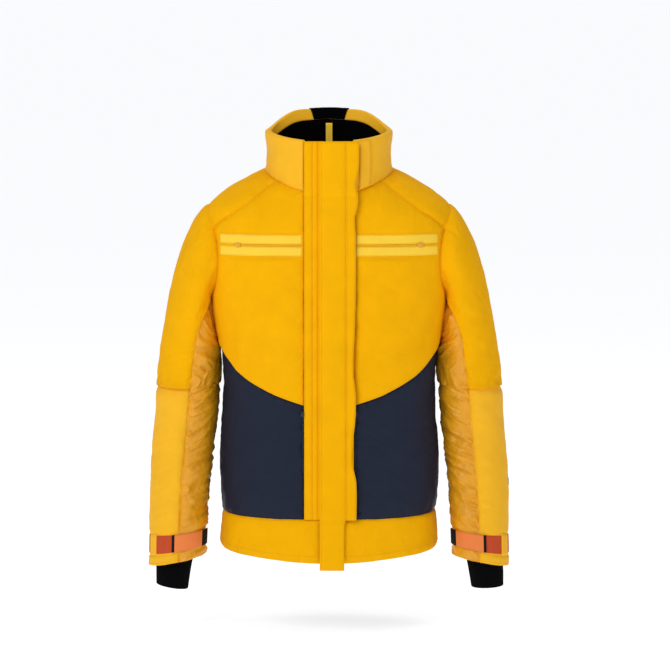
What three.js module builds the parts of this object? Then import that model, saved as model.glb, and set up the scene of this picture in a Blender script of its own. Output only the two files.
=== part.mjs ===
// Ski jacket, zipped shut, hanging by the loop inside its collar.
// Millimetres, +Z up, front towards -Y. The wearer's left is +X.
// The origin is the bearing face of the hanger loop, where a peg carries the jacket.
import * as THREE from "three";

const DEG = Math.PI / 180;

// ---- Driving dimensions ----------------------------------------------------
const hemFrontZ = -795; // hem at the centre front
const hemSeamZ = -714; // seam between the hem band and the panels above it
const neckFrontZ = -121; // collar seam at the centre front
const rimFrontZ = -23; // collar rim at the centre front
const hemFrontDepth = 150; // centre front, forward of the body's middle, at the hem
const rimFrontDepth = 113; // the same at the collar rim

const shellThickness = 5; // face fabric with its padding
const pocketBagThickness = 1.6;
const liningThickness = 2.4;
const collarLiningThickness = 3.6;
const layerGap = 0.4; // between one layer and the next
const seamGap = 0.6; // between two panels sewn edge to edge
const bagGap = 1.2; // pocket bags and the lining hang a little free of what covers them
const liningGap = 1.3;

const stripWidth = 36; // front strips, beside the zip
const stripGap = 0.6;
const tapeWidth = 7;
const teethWidth = 6;
const flapWidth = 66;
const flapThickness = 3;
const flapDrop = 11; // the flap reaches this far below the hem
const flapHemWidth = 45; // its width over the hem band
const flapClearance = 5.7; // room under the flap for the zip's slider

const bandLowZ = -232; // chest bands: lower edge, upper edge and the slit between them
const bandHighZ = -193;
const slitHeight = 4.4;
const bandInnerX = 49;
const bandOuterX = 199;
const bandThickness = 1.5;
const chestSlideInnerX = 60; // travel of the chest pocket's slider
const chestSlideOuterX = 165;
const chestSliderLift = 0.4; // its arc follows the chest only nearly

const handZipTopZ = -515;
const handZipLength = 112;
const handBagReach = 105; // pocket bag, from the zip towards the side

const coilWidth = 3.6; // pocket zip coils
const coilThickness = 2;
const passPocketSink = 1.1; // its welt lies a little below the forearm's fullest line

const cuffStrapWidth = 30; // along the sleeve
const cuffStrapTopAt = 10.49; // row of the sleeve where its upper edge lies
const cuffRowLength = 96.774; // one row of the sleeve, at the cuff
const gaiterBottomZ = -852;
const gaiterThickness = 2.5;
const elbowZ = -481;

const loopWidth = 12;
const loopThickness = 2;
const loopGap = 8; // room for a peg behind the loop
const loopLength = 46;

// ---- Curves through a few rows ---------------------------------------------
function spline(xs, ys) {
  const slopes = xs.map((_, i) => {
    const a = Math.max(i - 1, 0);
    const b = Math.min(i + 1, xs.length - 1);
    return (ys[b] - ys[a]) / (xs[b] - xs[a]);
  });
  return (x) => {
    let i = 0;
    while (i < xs.length - 2 && x > xs[i + 1]) i += 1;
    const w = xs[i + 1] - xs[i];
    const t = (x - xs[i]) / w;
    const t2 = t * t;
    const t3 = t2 * t;
    return (
      ys[i] * (2 * t3 - 3 * t2 + 1) +
      ys[i + 1] * (3 * t2 - 2 * t3) +
      slopes[i] * w * (t3 - 2 * t2 + t) +
      slopes[i + 1] * w * (t3 - t2)
    );
  };
}

function table(rows, key) {
  const xs = rows.map((row) => row[key]);
  const made = {};
  for (const name of Object.keys(rows[0])) {
    made[name] = spline(xs, rows.map((row) => row[name]));
  }
  return made;
}

// ---- The body surface --------------------------------------------------------
// One ring per row: its height at the front, side and back, half its width, its
// depth behind the body's middle, and how square it is (2 is an ellipse).
const bodyRings = [
  { front: hemFrontZ, side: hemFrontZ + 16, back: hemFrontZ - 8, width: 202, depth: 128, square: 2.5 },
  { front: hemSeamZ, side: -713, back: -716, width: 198, depth: 131, square: 2.5 },
  { front: -630, side: -630, back: -630, width: 202, depth: 133, square: 2.5 },
  { front: -550, side: -550, back: -550, width: 198, depth: 131, square: 2.5 },
  { front: -480, side: -478, back: -480, width: 194, depth: 129, square: 2.6 },
  { front: -400, side: -395, back: -395, width: 200, depth: 129, square: 2.8 },
  { front: -320, side: -316, back: -313, width: 213, depth: 131, square: 3.0 },
  { front: -260, side: -240, back: -240, width: 223, depth: 132, square: 3.0 },
  { front: -215, side: -180, back: -176, width: 227, depth: 127, square: 2.8 },
  { front: -185, side: -146, back: -132, width: 221, depth: 119, square: 2.6 },
  { front: -160, side: -118, back: -97, width: 186, depth: 107, square: 2.4 },
  { front: -138, side: -95, back: -68, width: 146, depth: 95, square: 2.3 },
  { front: neckFrontZ, side: -79, back: -50, width: 119, depth: 85, square: 2.3 },
  { front: -98, side: -60, back: -30, width: 113, depth: 81, square: 2.4 },
  { front: -70, side: -39, back: -8, width: 112, depth: 82, square: 2.4 },
  { front: -45, side: -21, back: 11, width: 115, depth: 87, square: 2.4 },
  { front: rimFrontZ, side: rimFrontZ + 15, back: rimFrontZ + 49, width: 117, depth: 93, square: 2.4 },
];
const ring = table(bodyRings, "front");
const lean = Math.atan2(hemFrontDepth - rimFrontDepth, rimFrontZ - hemFrontZ);

const pegZ = 0;
const loopBackDepth = ring.depth(-60) - shellThickness - 2 * layerGap - collarLiningThickness;
const bodyMiddleY = -(loopBackDepth - loopGap / 2); // puts the loop's bearing face at y 0

function frontDepth(height) {
  return hemFrontDepth - (height - hemFrontZ) * Math.tan(lean);
}

function bodyFace(angle, height) {
  const c = Math.cos(angle);
  const s = Math.sin(angle);
  const depth = s < 0 ? frontDepth(height) : ring.depth(height);
  const end = s < 0 ? height : ring.back(height);
  const n = ring.square(height);
  const r = (Math.abs(c / ring.width(height)) ** n + Math.abs(s / depth) ** n) ** (-1 / n);
  return new THREE.Vector3(r * c, bodyMiddleY + r * s, ring.side(height) * c * c + end * s * s);
}

// A surface function takes two parameters and an offset along its outward normal.
function offsetFrom(face, stepA, stepB) {
  return (a, b, offset) => {
    const alongA = face(a + stepA, b).sub(face(a - stepA, b));
    const alongB = face(a, b + stepB).sub(face(a, b - stepB));
    const normal = alongA.cross(alongB).normalize();
    return face(a, b).addScaledVector(normal, offset);
  };
}
const body = offsetFrom(bodyFace, 0.01, 0.5);

const frontEdgeX = 10 + stripWidth; // front strips end here, and the side panels begin

const side = 0;
const centreFront = -Math.PI / 2;
const centreBack = Math.PI / 2;

// The angle on the front half where the surface is x to the left of the middle.
function angleAt(x, height) {
  let angle = centreFront;
  for (let i = 0; i < 12; i += 1) {
    const p = bodyFace(angle, height);
    angle = centreFront + Math.atan2(x, bodyMiddleY - p.y);
  }
  return angle;
}

// The ring that passes through z at this angle.
function heightAt(angle, z) {
  let height = z;
  for (let i = 0; i < 25; i += 1) height += 0.7 * (z - bodyFace(angle, height).z);
  return height;
}

// ---- Closed solids from surfaces ----------------------------------------------
function closedSolid(positions, triangles) {
  const geometry = new THREE.BufferGeometry();
  geometry.setAttribute("position", new THREE.Float32BufferAttribute(positions, 3));
  geometry.setIndex(triangles);
  geometry.computeVertexNormals();
  return geometry;
}

// A four-sided patch of a surface, between two offsets. Each edge gives the
// surface's two parameters; left and right run upwards, bottom and top run
// anticlockwise round the body.
function panel(surface, edges, inner, outer, across, up) {
  const corner = [edges.bottom(0), edges.bottom(1), edges.top(0), edges.top(1)];
  const place = (s, t) =>
    [0, 1].map(
      (k) =>
        (1 - t) * edges.bottom(s)[k] +
        t * edges.top(s)[k] +
        (1 - s) * edges.left(t)[k] +
        s * edges.right(t)[k] -
        (1 - s) * (1 - t) * corner[0][k] -
        s * (1 - t) * corner[1][k] -
        (1 - s) * t * corner[2][k] -
        s * t * corner[3][k],
    );
  const at = (s, t) => surface(...place(s, t), outer);
  const insetS = seamGap / 2 / at(0, 0.5).distanceTo(at(0.5, 0.5)) / 2;
  const insetT = seamGap / 2 / at(0.5, 0).distanceTo(at(0.5, 0.5)) / 2;
  const positions = [];
  for (const offset of [outer, inner]) {
    for (let j = 0; j <= up; j += 1) {
      for (let i = 0; i <= across; i += 1) {
        const s = insetS + (i / across) * (1 - 2 * insetS);
        const t = insetT + (j / up) * (1 - 2 * insetT);
        positions.push(...surface(...place(s, t), offset).toArray());
      }
    }
  }
  const back = (across + 1) * (up + 1);
  const id = (i, j) => j * (across + 1) + i;
  const triangles = [];
  const quad = (a, b, c, d) => triangles.push(a, b, c, a, c, d);
  for (let j = 0; j < up; j += 1) {
    for (let i = 0; i < across; i += 1) {
      quad(id(i, j), id(i + 1, j), id(i + 1, j + 1), id(i, j + 1));
      quad(back + id(i, j), back + id(i, j + 1), back + id(i + 1, j + 1), back + id(i + 1, j));
    }
  }
  for (let i = 0; i < across; i += 1) {
    quad(back + id(i, 0), back + id(i + 1, 0), id(i + 1, 0), id(i, 0));
    quad(back + id(i, up), id(i, up), id(i + 1, up), back + id(i + 1, up));
  }
  for (let j = 0; j < up; j += 1) {
    quad(back + id(0, j), id(0, j), id(0, j + 1), back + id(0, j + 1));
    quad(back + id(across, j), back + id(across, j + 1), id(across, j + 1), id(across, j));
  }
  return closedSolid(positions, triangles);
}

// A patch whose two parameters run straight between limits.
function straightPanel(surface, a0, a1, b0, b1, inner, outer, across, up) {
  const mix = (p, q, t) => p + (q - p) * t;
  const edges = {
    bottom: (s) => [mix(a0, a1, s), b0],
    top: (s) => [mix(a0, a1, s), b1],
    left: (t) => [a0, mix(b0, b1, t)],
    right: (t) => [a1, mix(b0, b1, t)],
  };
  return panel(surface, edges, inner, outer, across, up);
}

// A tube wall through rings, lowest first: each gives a point for a turn and an inset.
function tubeWall(rings, thickness, around) {
  const positions = [];
  for (const inset of [0, thickness]) {
    for (const ringAt of rings) {
      for (let i = 0; i < around; i += 1) {
        positions.push(...ringAt((i / around) * 2 * Math.PI, inset).toArray());
      }
    }
  }
  const layer = rings.length * around;
  const id = (i, j) => j * around + (i % around);
  const triangles = [];
  const quad = (a, b, c, d) => triangles.push(a, b, c, a, c, d);
  for (let i = 0; i < around; i += 1) {
    for (let j = 0; j < rings.length - 1; j += 1) {
      quad(id(i, j), id(i + 1, j), id(i + 1, j + 1), id(i, j + 1));
      quad(layer + id(i, j), layer + id(i, j + 1), layer + id(i + 1, j + 1), layer + id(i + 1, j));
    }
    const top = rings.length - 1;
    quad(layer + id(i, 0), layer + id(i + 1, 0), id(i + 1, 0), id(i, 0));
    quad(id(i, top), id(i + 1, top), layer + id(i + 1, top), layer + id(i, top));
  }
  return closedSolid(positions, triangles);
}

// ---- Seam lines, as angle and height on the body surface ----------------------
const armhole = { reach: 21 * DEG, top: -185, bottom: -322 };
const raglanTurn = 57 * DEG; // where the raglan seam leaves the armhole
const raglanNeck = { front: -38 * DEG, back: 42 * DEG };
const diagonalSide = -392; // top of the lower panels at the side seam
const diagonalFrontZ = -505; // and beside the front strips

function armholeAt(turn) {
  const middle = (armhole.top + armhole.bottom) / 2;
  const half = (armhole.top - armhole.bottom) / 2;
  return [armhole.reach * Math.sin(turn), middle + half * Math.cos(turn)];
}

function raglanCurve(sign, neckAngle) {
  const start = armholeAt(sign * raglanTurn);
  const middle = [start[0] + 0.6 * (neckAngle - start[0]), start[1] + 0.44 * (neckFrontZ - start[1])];
  const curve = new THREE.SplineCurve(
    [start, middle, [neckAngle, neckFrontZ]].map((p) => new THREE.Vector2(...p)),
  );
  return (t) => curve.getPoint(t).toArray();
}
const raglanFront = raglanCurve(-1, raglanNeck.front);
const raglanBack = raglanCurve(1, raglanNeck.back);

// From the lower panel's corner up the side seam, round the armhole and along the raglan seam.
const sideShare = 0.25;
const armholeShare = 0.4;
function outerEdge(sign) {
  const raglan = sign < 0 ? raglanFront : raglanBack;
  return (t) => {
    if (t <= sideShare) return [side, diagonalSide + (t / sideShare) * (armhole.bottom - diagonalSide)];
    if (t <= sideShare + armholeShare) {
      const share = (t - sideShare) / armholeShare;
      return armholeAt(sign * (Math.PI - share * (Math.PI - raglanTurn)));
    }
    return raglan((t - sideShare - armholeShare) / (1 - sideShare - armholeShare));
  };
}

const diagonalCurve = new THREE.SplineCurve(
  [
    [angleAt(frontEdgeX, diagonalFrontZ), diagonalFrontZ],
    [-50 * DEG, diagonalFrontZ + 20.5],
    [-30 * DEG, diagonalFrontZ + 53],
    [-16 * DEG, diagonalFrontZ + 90],
    [side, diagonalSide],
  ].map((p) => new THREE.Vector2(...p)),
);
const diagonalFront = (s) => diagonalCurve.getPoint(s).toArray();
const diagonalBackDrop = 78;
function diagonalBack(s) {
  return [s * Math.PI, diagonalSide - diagonalBackDrop * Math.sin(s * Math.PI) ** 1.5];
}
const frontEdge = (low, high, x) => (t) => {
  const height = low + t * (high - low);
  return [angleAt(x, height), height];
};
const mirrored = (edge) => (t) => {
  const [angle, height] = edge(t);
  return [Math.PI - angle, height];
};
const between = (p, q) => (s) => [p[0] + s * (q[0] - p[0]), p[1] + s * (q[1] - p[1])];

// ---- Materials -----------------------------------------------------------------
const cloth = (colour, roughness = 0.75) =>
  new THREE.MeshStandardMaterial({ color: colour, roughness, metalness: 0 });
const matteYellow = cloth(0xf2b200);
const lightYellow = cloth(0xf7bd2c, 0.6);
const sheenYellow = cloth(0xdc9a1e, 0.4);
const navy = cloth(0x262b3b, 0.55);
const blackFleece = cloth(0x0a0a0e, 0.95);
const darkLining = cloth(0x17181d, 0.6);
const ribbonYellow = cloth(0xf5c93c, 0.6);
const strapOrange = cloth(0xee8450, 0.55);
const patchRed = cloth(0xc5513a, 0.7);
const yellowPlastic = cloth(0xe0a818, 0.45);
const blackPlastic = cloth(0x0c0c0e, 0.4);

const jacket = new THREE.Group();
function add(parent, name, geometry, material) {
  const mesh = new THREE.Mesh(geometry, material);
  mesh.name = name;
  parent.add(mesh);
  return mesh;
}

// ---- Body panels -----------------------------------------------------------------
const shell = [-shellThickness, 0];
const bagOuter = -shellThickness - bagGap;
const liningOuter = bagOuter - pocketBagThickness - liningGap;
const lining = [liningOuter - liningThickness, liningOuter];

function bodySide(parent, name) {
  const edge = outerEdge(-1);
  const frontEnd = [angleAt(frontEdgeX, neckFrontZ), neckFrontZ];
  const frontPanel = {
    bottom: diagonalFront,
    top: between(frontEnd, [raglanNeck.front, neckFrontZ]),
    left: frontEdge(diagonalFrontZ, neckFrontZ, frontEdgeX),
    right: edge,
  };
  add(parent, `${name}_front_panel`, panel(body, frontPanel, ...shell, 8, 20), matteYellow);

  const lowerPanel = {
    bottom: between([angleAt(frontEdgeX, hemSeamZ), hemSeamZ], [side, hemSeamZ]),
    top: diagonalFront,
    left: frontEdge(hemSeamZ, diagonalFrontZ, frontEdgeX),
    right: between([side, hemSeamZ], [side, diagonalSide]),
  };
  add(parent, `${name}_lower_panel`, panel(body, lowerPanel, ...shell, 8, 5), navy);

  const bandStart = 10 + seamGap;
  const hemBand = {
    bottom: between([angleAt(bandStart, hemFrontZ), hemFrontZ], [side, hemFrontZ]),
    top: between([angleAt(bandStart, hemSeamZ), hemSeamZ], [side, hemSeamZ]),
    left: frontEdge(hemFrontZ, hemSeamZ, bandStart),
    right: between([side, hemFrontZ], [side, hemSeamZ]),
  };
  add(parent, `${name}_hem_band`, panel(body, hemBand, ...shell, 9, 2), matteYellow);

  const yoke = {
    bottom: (s) => armholeAt((2 * s - 1) * raglanTurn),
    top: between([raglanNeck.front, neckFrontZ], [raglanNeck.back, neckFrontZ]),
    left: raglanFront,
    right: raglanBack,
  };
  add(parent, `${name}_shoulder_yoke`, panel(body, yoke, ...shell, 8, 7), matteYellow);

  const liningTop = neckFrontZ - 1;
  const liningLow = hemFrontZ + 12;
  const liningStart = 14;
  const liningSide = (t) => {
    const shoulder = (t - 0.75) / 0.25;
    if (t <= 0.5) return [side, liningLow + (t / 0.5) * (armhole.bottom - liningLow)];
    if (t <= 0.75) return armholeAt(-Math.PI * (1 - (t - 0.5) / 0.25));
    return [side, armhole.top + shoulder * (liningTop - armhole.top)];
  };
  const liningPanel = {
    bottom: between([angleAt(liningStart, liningLow), liningLow], [side, liningLow]),
    top: between([angleAt(liningStart, liningTop), liningTop], [side, liningTop]),
    left: frontEdge(liningLow, liningTop, liningStart),
    right: liningSide,
  };
  add(parent, `${name}_front_lining`, panel(body, liningPanel, ...lining, 7, 16), darkLining);

  const bagLow = heightAt(angleAt(60, -650), handZipTopZ - handZipLength - 45);
  const bagAngles = [angleAt(frontEdgeX, -600), angleAt(frontEdgeX + handBagReach, -600)];
  const bag = straightPanel(
    body, ...bagAngles, bagLow, handZipTopZ, bagOuter - pocketBagThickness, bagOuter, 8, 4,
  );
  add(parent, `${name}_hand_pocket_bag`, bag, darkLining);
}

// Coil of a hand pocket's zip, upright beside the front strip, with its slider at the top.
function handPocket(parent, name) {
  const x = frontEdgeX + coilWidth / 2 + seamGap;
  const low = handZipTopZ - handZipLength;
  const slice = (edgeX) => frontEdge(low, handZipTopZ, edgeX);
  const edges = {
    bottom: between(slice(x - coilWidth / 2)(0), slice(x + coilWidth / 2)(0)),
    top: between(slice(x - coilWidth / 2)(1), slice(x + coilWidth / 2)(1)),
    left: slice(x - coilWidth / 2),
    right: slice(x + coilWidth / 2),
  };
  const coil = panel(body, edges, layerGap, layerGap + coilThickness, 1, 4);
  add(parent, `${name}_hand_pocket_zip`, coil, navy);
  const slider = add(parent, `${name}_hand_pocket_slider`, pocketSlider(), navy);
  const height = handZipTopZ - sliderLength / 2;
  slider.position.copy(body(angleAt(x, height), height, layerGap * 2 + coilThickness));
  slider.rotation.x = -lean;
}

const sliderWidth = 6.5;
const sliderLength = 10;
const sliderHeight = 2;
function pocketSlider() {
  const box = new THREE.BoxGeometry(sliderWidth, sliderHeight, sliderLength);
  return box.translate(0, -sliderHeight / 2, 0);
}

// ---- Chest pocket: two ribbon bands with a zip in the slit between them ----------
const slitLowZ = (bandLowZ + bandHighZ - slitHeight) / 2;
const slitHighZ = slitLowZ + slitHeight;

function level(z, fromX, toX) {
  return (s) => {
    const angle = angleAt(fromX + s * (toX - fromX), heightAt(angleAt(fromX + s * (toX - fromX), z), z));
    return [angle, heightAt(angle, z)];
  };
}

function ribbon(lowZ, highZ, fromX, toX, inner, outer, across) {
  const edges = {
    bottom: level(lowZ, fromX, toX),
    top: level(highZ, fromX, toX),
    left: between(level(lowZ, fromX, toX)(0), level(highZ, fromX, toX)(0)),
    right: between(level(lowZ, fromX, toX)(1), level(highZ, fromX, toX)(1)),
  };
  return panel(body, edges, inner, outer, across, 1);
}

function chestPocket(parent, name) {
  const faces = [layerGap, layerGap + bandThickness];
  const upper = ribbon(slitHighZ, bandHighZ, bandInnerX, bandOuterX, ...faces, 10);
  const lower = ribbon(bandLowZ, slitLowZ, bandInnerX, bandOuterX, ...faces, 10);
  const coilGap = (slitHeight - coilWidth) / 2;
  const coil = ribbon(
    slitLowZ + coilGap, slitHighZ - coilGap, chestSlideInnerX - sliderLength, chestSlideOuterX + sliderLength,
    layerGap, layerGap + coilThickness, 8,
  );
  add(parent, `${name}_chest_band_upper`, upper, ribbonYellow);
  add(parent, `${name}_chest_band_lower`, lower, ribbonYellow);
  add(parent, `${name}_chest_zip`, coil, yellowPlastic);
  const z = (slitLowZ + slitHighZ) / 2;
  const angle = level(z, chestSlideOuterX, chestSlideOuterX)(0);
  const lying = pocketSlider().rotateY(Math.PI / 2);
  const slider = add(parent, `${name}_chest_slider`, lying, yellowPlastic);
  slider.position.copy(body(...angle, 2 * layerGap + coilThickness + chestSliderLift));
  const ahead = body(...level(z, chestSlideOuterX + 5, 0)(0), 0);
  const across = ahead.sub(body(...level(z, chestSlideOuterX - 5, 0)(0), 0));
  slider.rotation.z = Math.atan2(across.y, across.x);
}

// ---- Collar ------------------------------------------------------------------------
const facingLow = -52; // lower edge of the inner facing, as a ring height
const patchAngles = { top: 22.5 * DEG, bottom: 19 * DEG };

function collar() {
  const start = (height) => angleAt(frontEdgeX, height);
  const around = (low, high, inner, outer, across, up) => {
    const left = frontEdge(low, high, frontEdgeX);
    const edges = {
      bottom: between([start(low), low], [Math.PI - start(low), low]),
      top: between([start(high), high], [Math.PI - start(high), high]),
      left,
      right: mirrored(left),
    };
    return panel(body, edges, inner, outer, across, up);
  };
  const inside = -shellThickness - layerGap;
  const rim = rimFrontZ - 1.5;
  add(jacket, "collar_shell", around(neckFrontZ, rimFrontZ, ...shell, 28, 4), lightYellow);
  const fleece = around(neckFrontZ, facingLow, inside - collarLiningThickness, inside, 28, 3);
  add(jacket, "collar_fleece_lining", fleece, blackFleece);
  const facing = around(facingLow, rim, inside - collarLiningThickness, inside, 28, 1);
  add(jacket, "collar_facing", facing, lightYellow);
  const patchOuter = inside - collarLiningThickness - layerGap;
  const patch = {
    bottom: between([centreBack - patchAngles.bottom, facingLow], [centreBack + patchAngles.bottom, facingLow]),
    top: between([centreBack - patchAngles.top, rim], [centreBack + patchAngles.top, rim]),
    left: between([centreBack - patchAngles.bottom, facingLow], [centreBack - patchAngles.top, rim]),
    right: between([centreBack + patchAngles.bottom, facingLow], [centreBack + patchAngles.top, rim]),
  };
  add(jacket, "collar_back_patch", panel(body, patch, patchOuter - 1.2, patchOuter, 4, 1), blackFleece);

  const tab = {
    bottom: (s) => [angleAt(54 + 19 * s, neckFrontZ + 2), neckFrontZ + 2],
    top: (s) => [angleAt(54 + 19 * s, rimFrontZ - 4), rimFrontZ - 4],
    left: frontEdge(neckFrontZ + 2, rimFrontZ - 4, 54),
    right: frontEdge(neckFrontZ + 2, rimFrontZ - 4, 73),
  };
  add(jacket, "collar_tab", panel(body, tab, 2 * layerGap, 2 * layerGap + 2, 2, 4), lightYellow);
}

// A strap sewn at both ends, with its bearing face at the origin. Its ends reach the lining.
function hangerLoop() {
  const reach = (z) => {
    const face = body(centreBack, heightAt(centreBack, z), -shellThickness - 2 * layerGap - collarLiningThickness);
    return face.y - layerGap;
  };
  const front = -0.75 * loopGap; // the collar leans in below the loop's upper end
  const low = pegZ - loopLength;
  const outline = new THREE.Shape(
    [
      [front - loopThickness, pegZ + loopThickness],
      [front - loopThickness, low - loopThickness],
      [reach(low - loopThickness), low - loopThickness],
      [reach(low), low],
      [front, low],
      [front, pegZ],
      [Math.min(reach(pegZ), reach(pegZ + loopThickness)), pegZ],
      [Math.min(reach(pegZ), reach(pegZ + loopThickness)), pegZ + loopThickness],
    ].map((p) => new THREE.Vector2(...p)),
  );
  const strap = new THREE.ExtrudeGeometry(outline, { depth: loopWidth, bevelEnabled: false });
  strap.applyMatrix4(
    new THREE.Matrix4().makeBasis(
      new THREE.Vector3(0, 1, 0), new THREE.Vector3(0, 0, 1), new THREE.Vector3(1, 0, 0),
    ),
  );
  strap.translate(-loopWidth / 2, 0, 0);
  add(jacket, "hanger_loop", strap, lightYellow);
}

// ---- Centre front: everything here lies along one straight, slightly leaning line ----
const front = new THREE.Group();
front.position.copy(bodyFace(centreFront, hemFrontZ));
front.rotation.x = -lean;
jacket.add(front);
const frontLength = (rimFrontZ - hemFrontZ) / Math.cos(lean);
const hemSeamUp = (hemSeamZ - hemFrontZ) / Math.cos(lean);

function slab(x0, x1, out0, out1, up0, up1) {
  const box = new THREE.BoxGeometry(x1 - x0, out1 - out0, up1 - up0);
  return box.translate((x0 + x1) / 2, -(out0 + out1) / 2, (up0 + up1) / 2);
}

function upright(points, up0, up1) {
  const shape = new THREE.Shape(points.map(([x, out]) => new THREE.Vector2(x, -out)));
  const made = new THREE.ExtrudeGeometry(shape, { depth: up1 - up0, bevelEnabled: false });
  return made.translate(0, 0, up0);
}

const flapRootX = -17;
const flapSeatWidth = 6;
function centreFrontParts() {
  const tapeInner = teethWidth / 2 + seamGap;
  const tapeOuter = tapeInner + tapeWidth - seamGap;
  const stripInner = tapeOuter + seamGap;
  const stripOuter = frontEdgeX - stripGap;
  const low = hemSeamUp + seamGap;
  add(front, "left_front_strip", slab(stripInner, stripOuter, -shellThickness, 0, low, frontLength), matteYellow);
  // The flap is sewn to the right strip's raised seam.
  const seam = [
    [-stripOuter, 0],
    [-stripOuter, -shellThickness],
    [-stripInner, -shellThickness],
    [-stripInner, 0],
    [flapRootX + flapSeatWidth, 0],
    [flapRootX + flapSeatWidth, flapClearance],
    [flapRootX, flapClearance],
    [flapRootX, 0],
  ];
  add(front, "right_front_strip", upright(seam, low, frontLength), matteYellow);
  const tape = [-1.4, -0.4, 6, frontLength - 2];
  add(front, "left_zip_tape", slab(tapeInner, tapeOuter, ...tape), matteYellow);
  add(front, "right_zip_tape", slab(-tapeOuter, -tapeInner, ...tape), matteYellow);
  const teeth = slab(-teethWidth / 2, teethWidth / 2, -2, 1.2, 6, frontLength - 2);
  add(front, "zip_teeth", teeth, yellowPlastic);

  const outline = new THREE.Shape(
    [
      [flapRootX, -flapDrop],
      [flapRootX + flapHemWidth, -flapDrop],
      [flapRootX + flapHemWidth, hemSeamUp],
      [flapRootX + flapWidth, hemSeamUp],
      [flapRootX + flapWidth, frontLength],
      [flapRootX, frontLength],
    ].map((p) => new THREE.Vector2(...p)),
  );
  const flap = new THREE.ExtrudeGeometry(outline, { depth: flapThickness, bevelEnabled: false });
  flap.rotateX(Math.PI / 2);
  flap.translate(0, -flapClearance - layerGap, 0);
  add(front, "storm_flap", flap, matteYellow);

  const plate = 1.2 + layerGap;
  const sliderShape = [
    [-5.2, 0],
    [-3.8, 0],
    [-3.8, plate],
    [3.8, plate],
    [3.8, 0],
    [5.2, 0],
    [5.2, plate + 1.4],
    [-5.2, plate + 1.4],
  ];
  const sliderTop = frontLength - 6;
  add(front, "main_zip_slider", upright(sliderShape, sliderTop - 15, sliderTop), yellowPlastic);
  const pull = slab(-4, 4, plate + 1.8, plate + 3.2, sliderTop - 42, sliderTop - 6);
  add(front, "main_zip_puller", pull, yellowPlastic);
}

// ---- Sleeves ----------------------------------------------------------------------
// One ring per row below the armhole: its outer and inner points in X and Z, the
// middle and half of its depth in Y from the body's middle.
const sleeveRings = [
  { at: 1, outerX: 241, outerZ: -165, innerX: 219, innerZ: -334, middle: -1, half: 83 },
  { at: 2, outerX: 262, outerZ: -206, innerX: 218, innerZ: -352, middle: 0, half: 83 },
  { at: 3, outerX: 278, outerZ: -254, innerX: 214, innerZ: -376, middle: 2, half: 81 },
  { at: 4, outerX: 291, outerZ: -308, innerX: 209, innerZ: -402, middle: 3, half: 78 },
  { at: 5, outerX: 301, outerZ: -366, innerX: 205, innerZ: -426, middle: 4, half: 75 },
  { at: 6, outerX: 311, outerZ: -424, innerX: 203, innerZ: -450, middle: 3, half: 72 },
  { at: 7, outerX: 318, outerZ: elbowZ, innerX: 205, innerZ: elbowZ, middle: 1, half: 69 },
  { at: 8, outerX: 322, outerZ: -545, innerX: 211, innerZ: -545, middle: -3, half: 65 },
  { at: 9, outerX: 328, outerZ: -620, innerX: 219, innerZ: -618, middle: -14, half: 60 },
  { at: 10, outerX: 331, outerZ: -705, innerX: 227, innerZ: -700, middle: -28, half: 55 },
  { at: 11, outerX: 332, outerZ: -812, innerX: 231, innerZ: -791, middle: -43, half: 51 },
];
const sleeveRing = table(sleeveRings, "at");

// Turn 0 is the outer edge, a quarter turn forward is -90 degrees.
function ringPoint(turn, at) {
  const c = Math.cos(turn);
  const blend = (a, b) => (a * (1 + c) + b * (1 - c)) / 2;
  return new THREE.Vector3(
    blend(sleeveRing.outerX(at), sleeveRing.innerX(at)),
    bodyMiddleY + sleeveRing.middle(at) + sleeveRing.half(at) * Math.sin(turn),
    blend(sleeveRing.outerZ(at), sleeveRing.innerZ(at)),
  );
}

// Between the armhole and the first ring the sleeve leaves the body's own surface.
function sleeveFace(turn, at) {
  if (at >= 1) return ringPoint(turn, at);
  const root = bodyFace(...armholeAt(turn));
  const end = ringPoint(turn, 1);
  const speed = ringPoint(turn, 1.02).sub(ringPoint(turn, 1)).multiplyScalar(50);
  const t = at;
  return root
    .multiplyScalar((1 - t) * (1 - t))
    .addScaledVector(end.clone().addScaledVector(speed, -0.5), 2 * t * (1 - t))
    .addScaledVector(end, t * t);
}
const sleeve = offsetFrom(sleeveFace, 0.02, -0.02);

const underPanel = spline([0, 1, 2, 3, 4, 5, 12], [22, 26, 38, 56, 72, 82, 86]);
const elbowAt = 7;
const cuffAt = 11;
const upStep = 0.04; // start, just off the body
const strapAt = { top: cuffStrapTopAt, bottom: cuffStrapTopAt + cuffStrapWidth / cuffRowLength };

function sleevePanel(fromAt, toAt, under, across, up) {
  const half = (at) => (under ? underPanel(at) * DEG : Math.PI - underPanel(at) * DEG);
  const middle = under ? Math.PI : 0;
  const edges = {
    bottom: (s) => [middle + half(toAt) * (2 * s - 1), toAt],
    top: (s) => [middle + half(fromAt) * (2 * s - 1), fromAt],
    left: (t) => {
      const at = toAt + t * (fromAt - toAt);
      return [middle - half(at), at];
    },
    right: (t) => {
      const at = toAt + t * (fromAt - toAt);
      return [middle + half(at), at];
    },
  };
  return panel(sleeve, edges, ...shell, across, up);
}

// Sewn inside the sleeve end, it narrows to a stretch tube round the wrist.
function gaiter() {
  const inside = (at) => (turn, inset) => sleeve(turn, at, -shellThickness - 1.2 - inset);
  const wrist = (z, halfX, halfY, lag) => (turn, inset) => {
    const x = 284 + (halfX - inset) * Math.cos(turn);
    const y = bodyMiddleY + sleeveRing.middle(cuffAt) + lag + (halfY - inset) * Math.sin(turn);
    return new THREE.Vector3(x, y, z);
  };
  const rings = [
    wrist(gaiterBottomZ, 30, 36, -4),
    wrist(gaiterBottomZ + 45, 33, 38, -2),
    wrist(gaiterBottomZ + 75, 38, 40, 0),
    inside(10.35),
    inside(10.2),
  ];
  return tubeWall(rings, gaiterThickness, 16);
}

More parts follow.
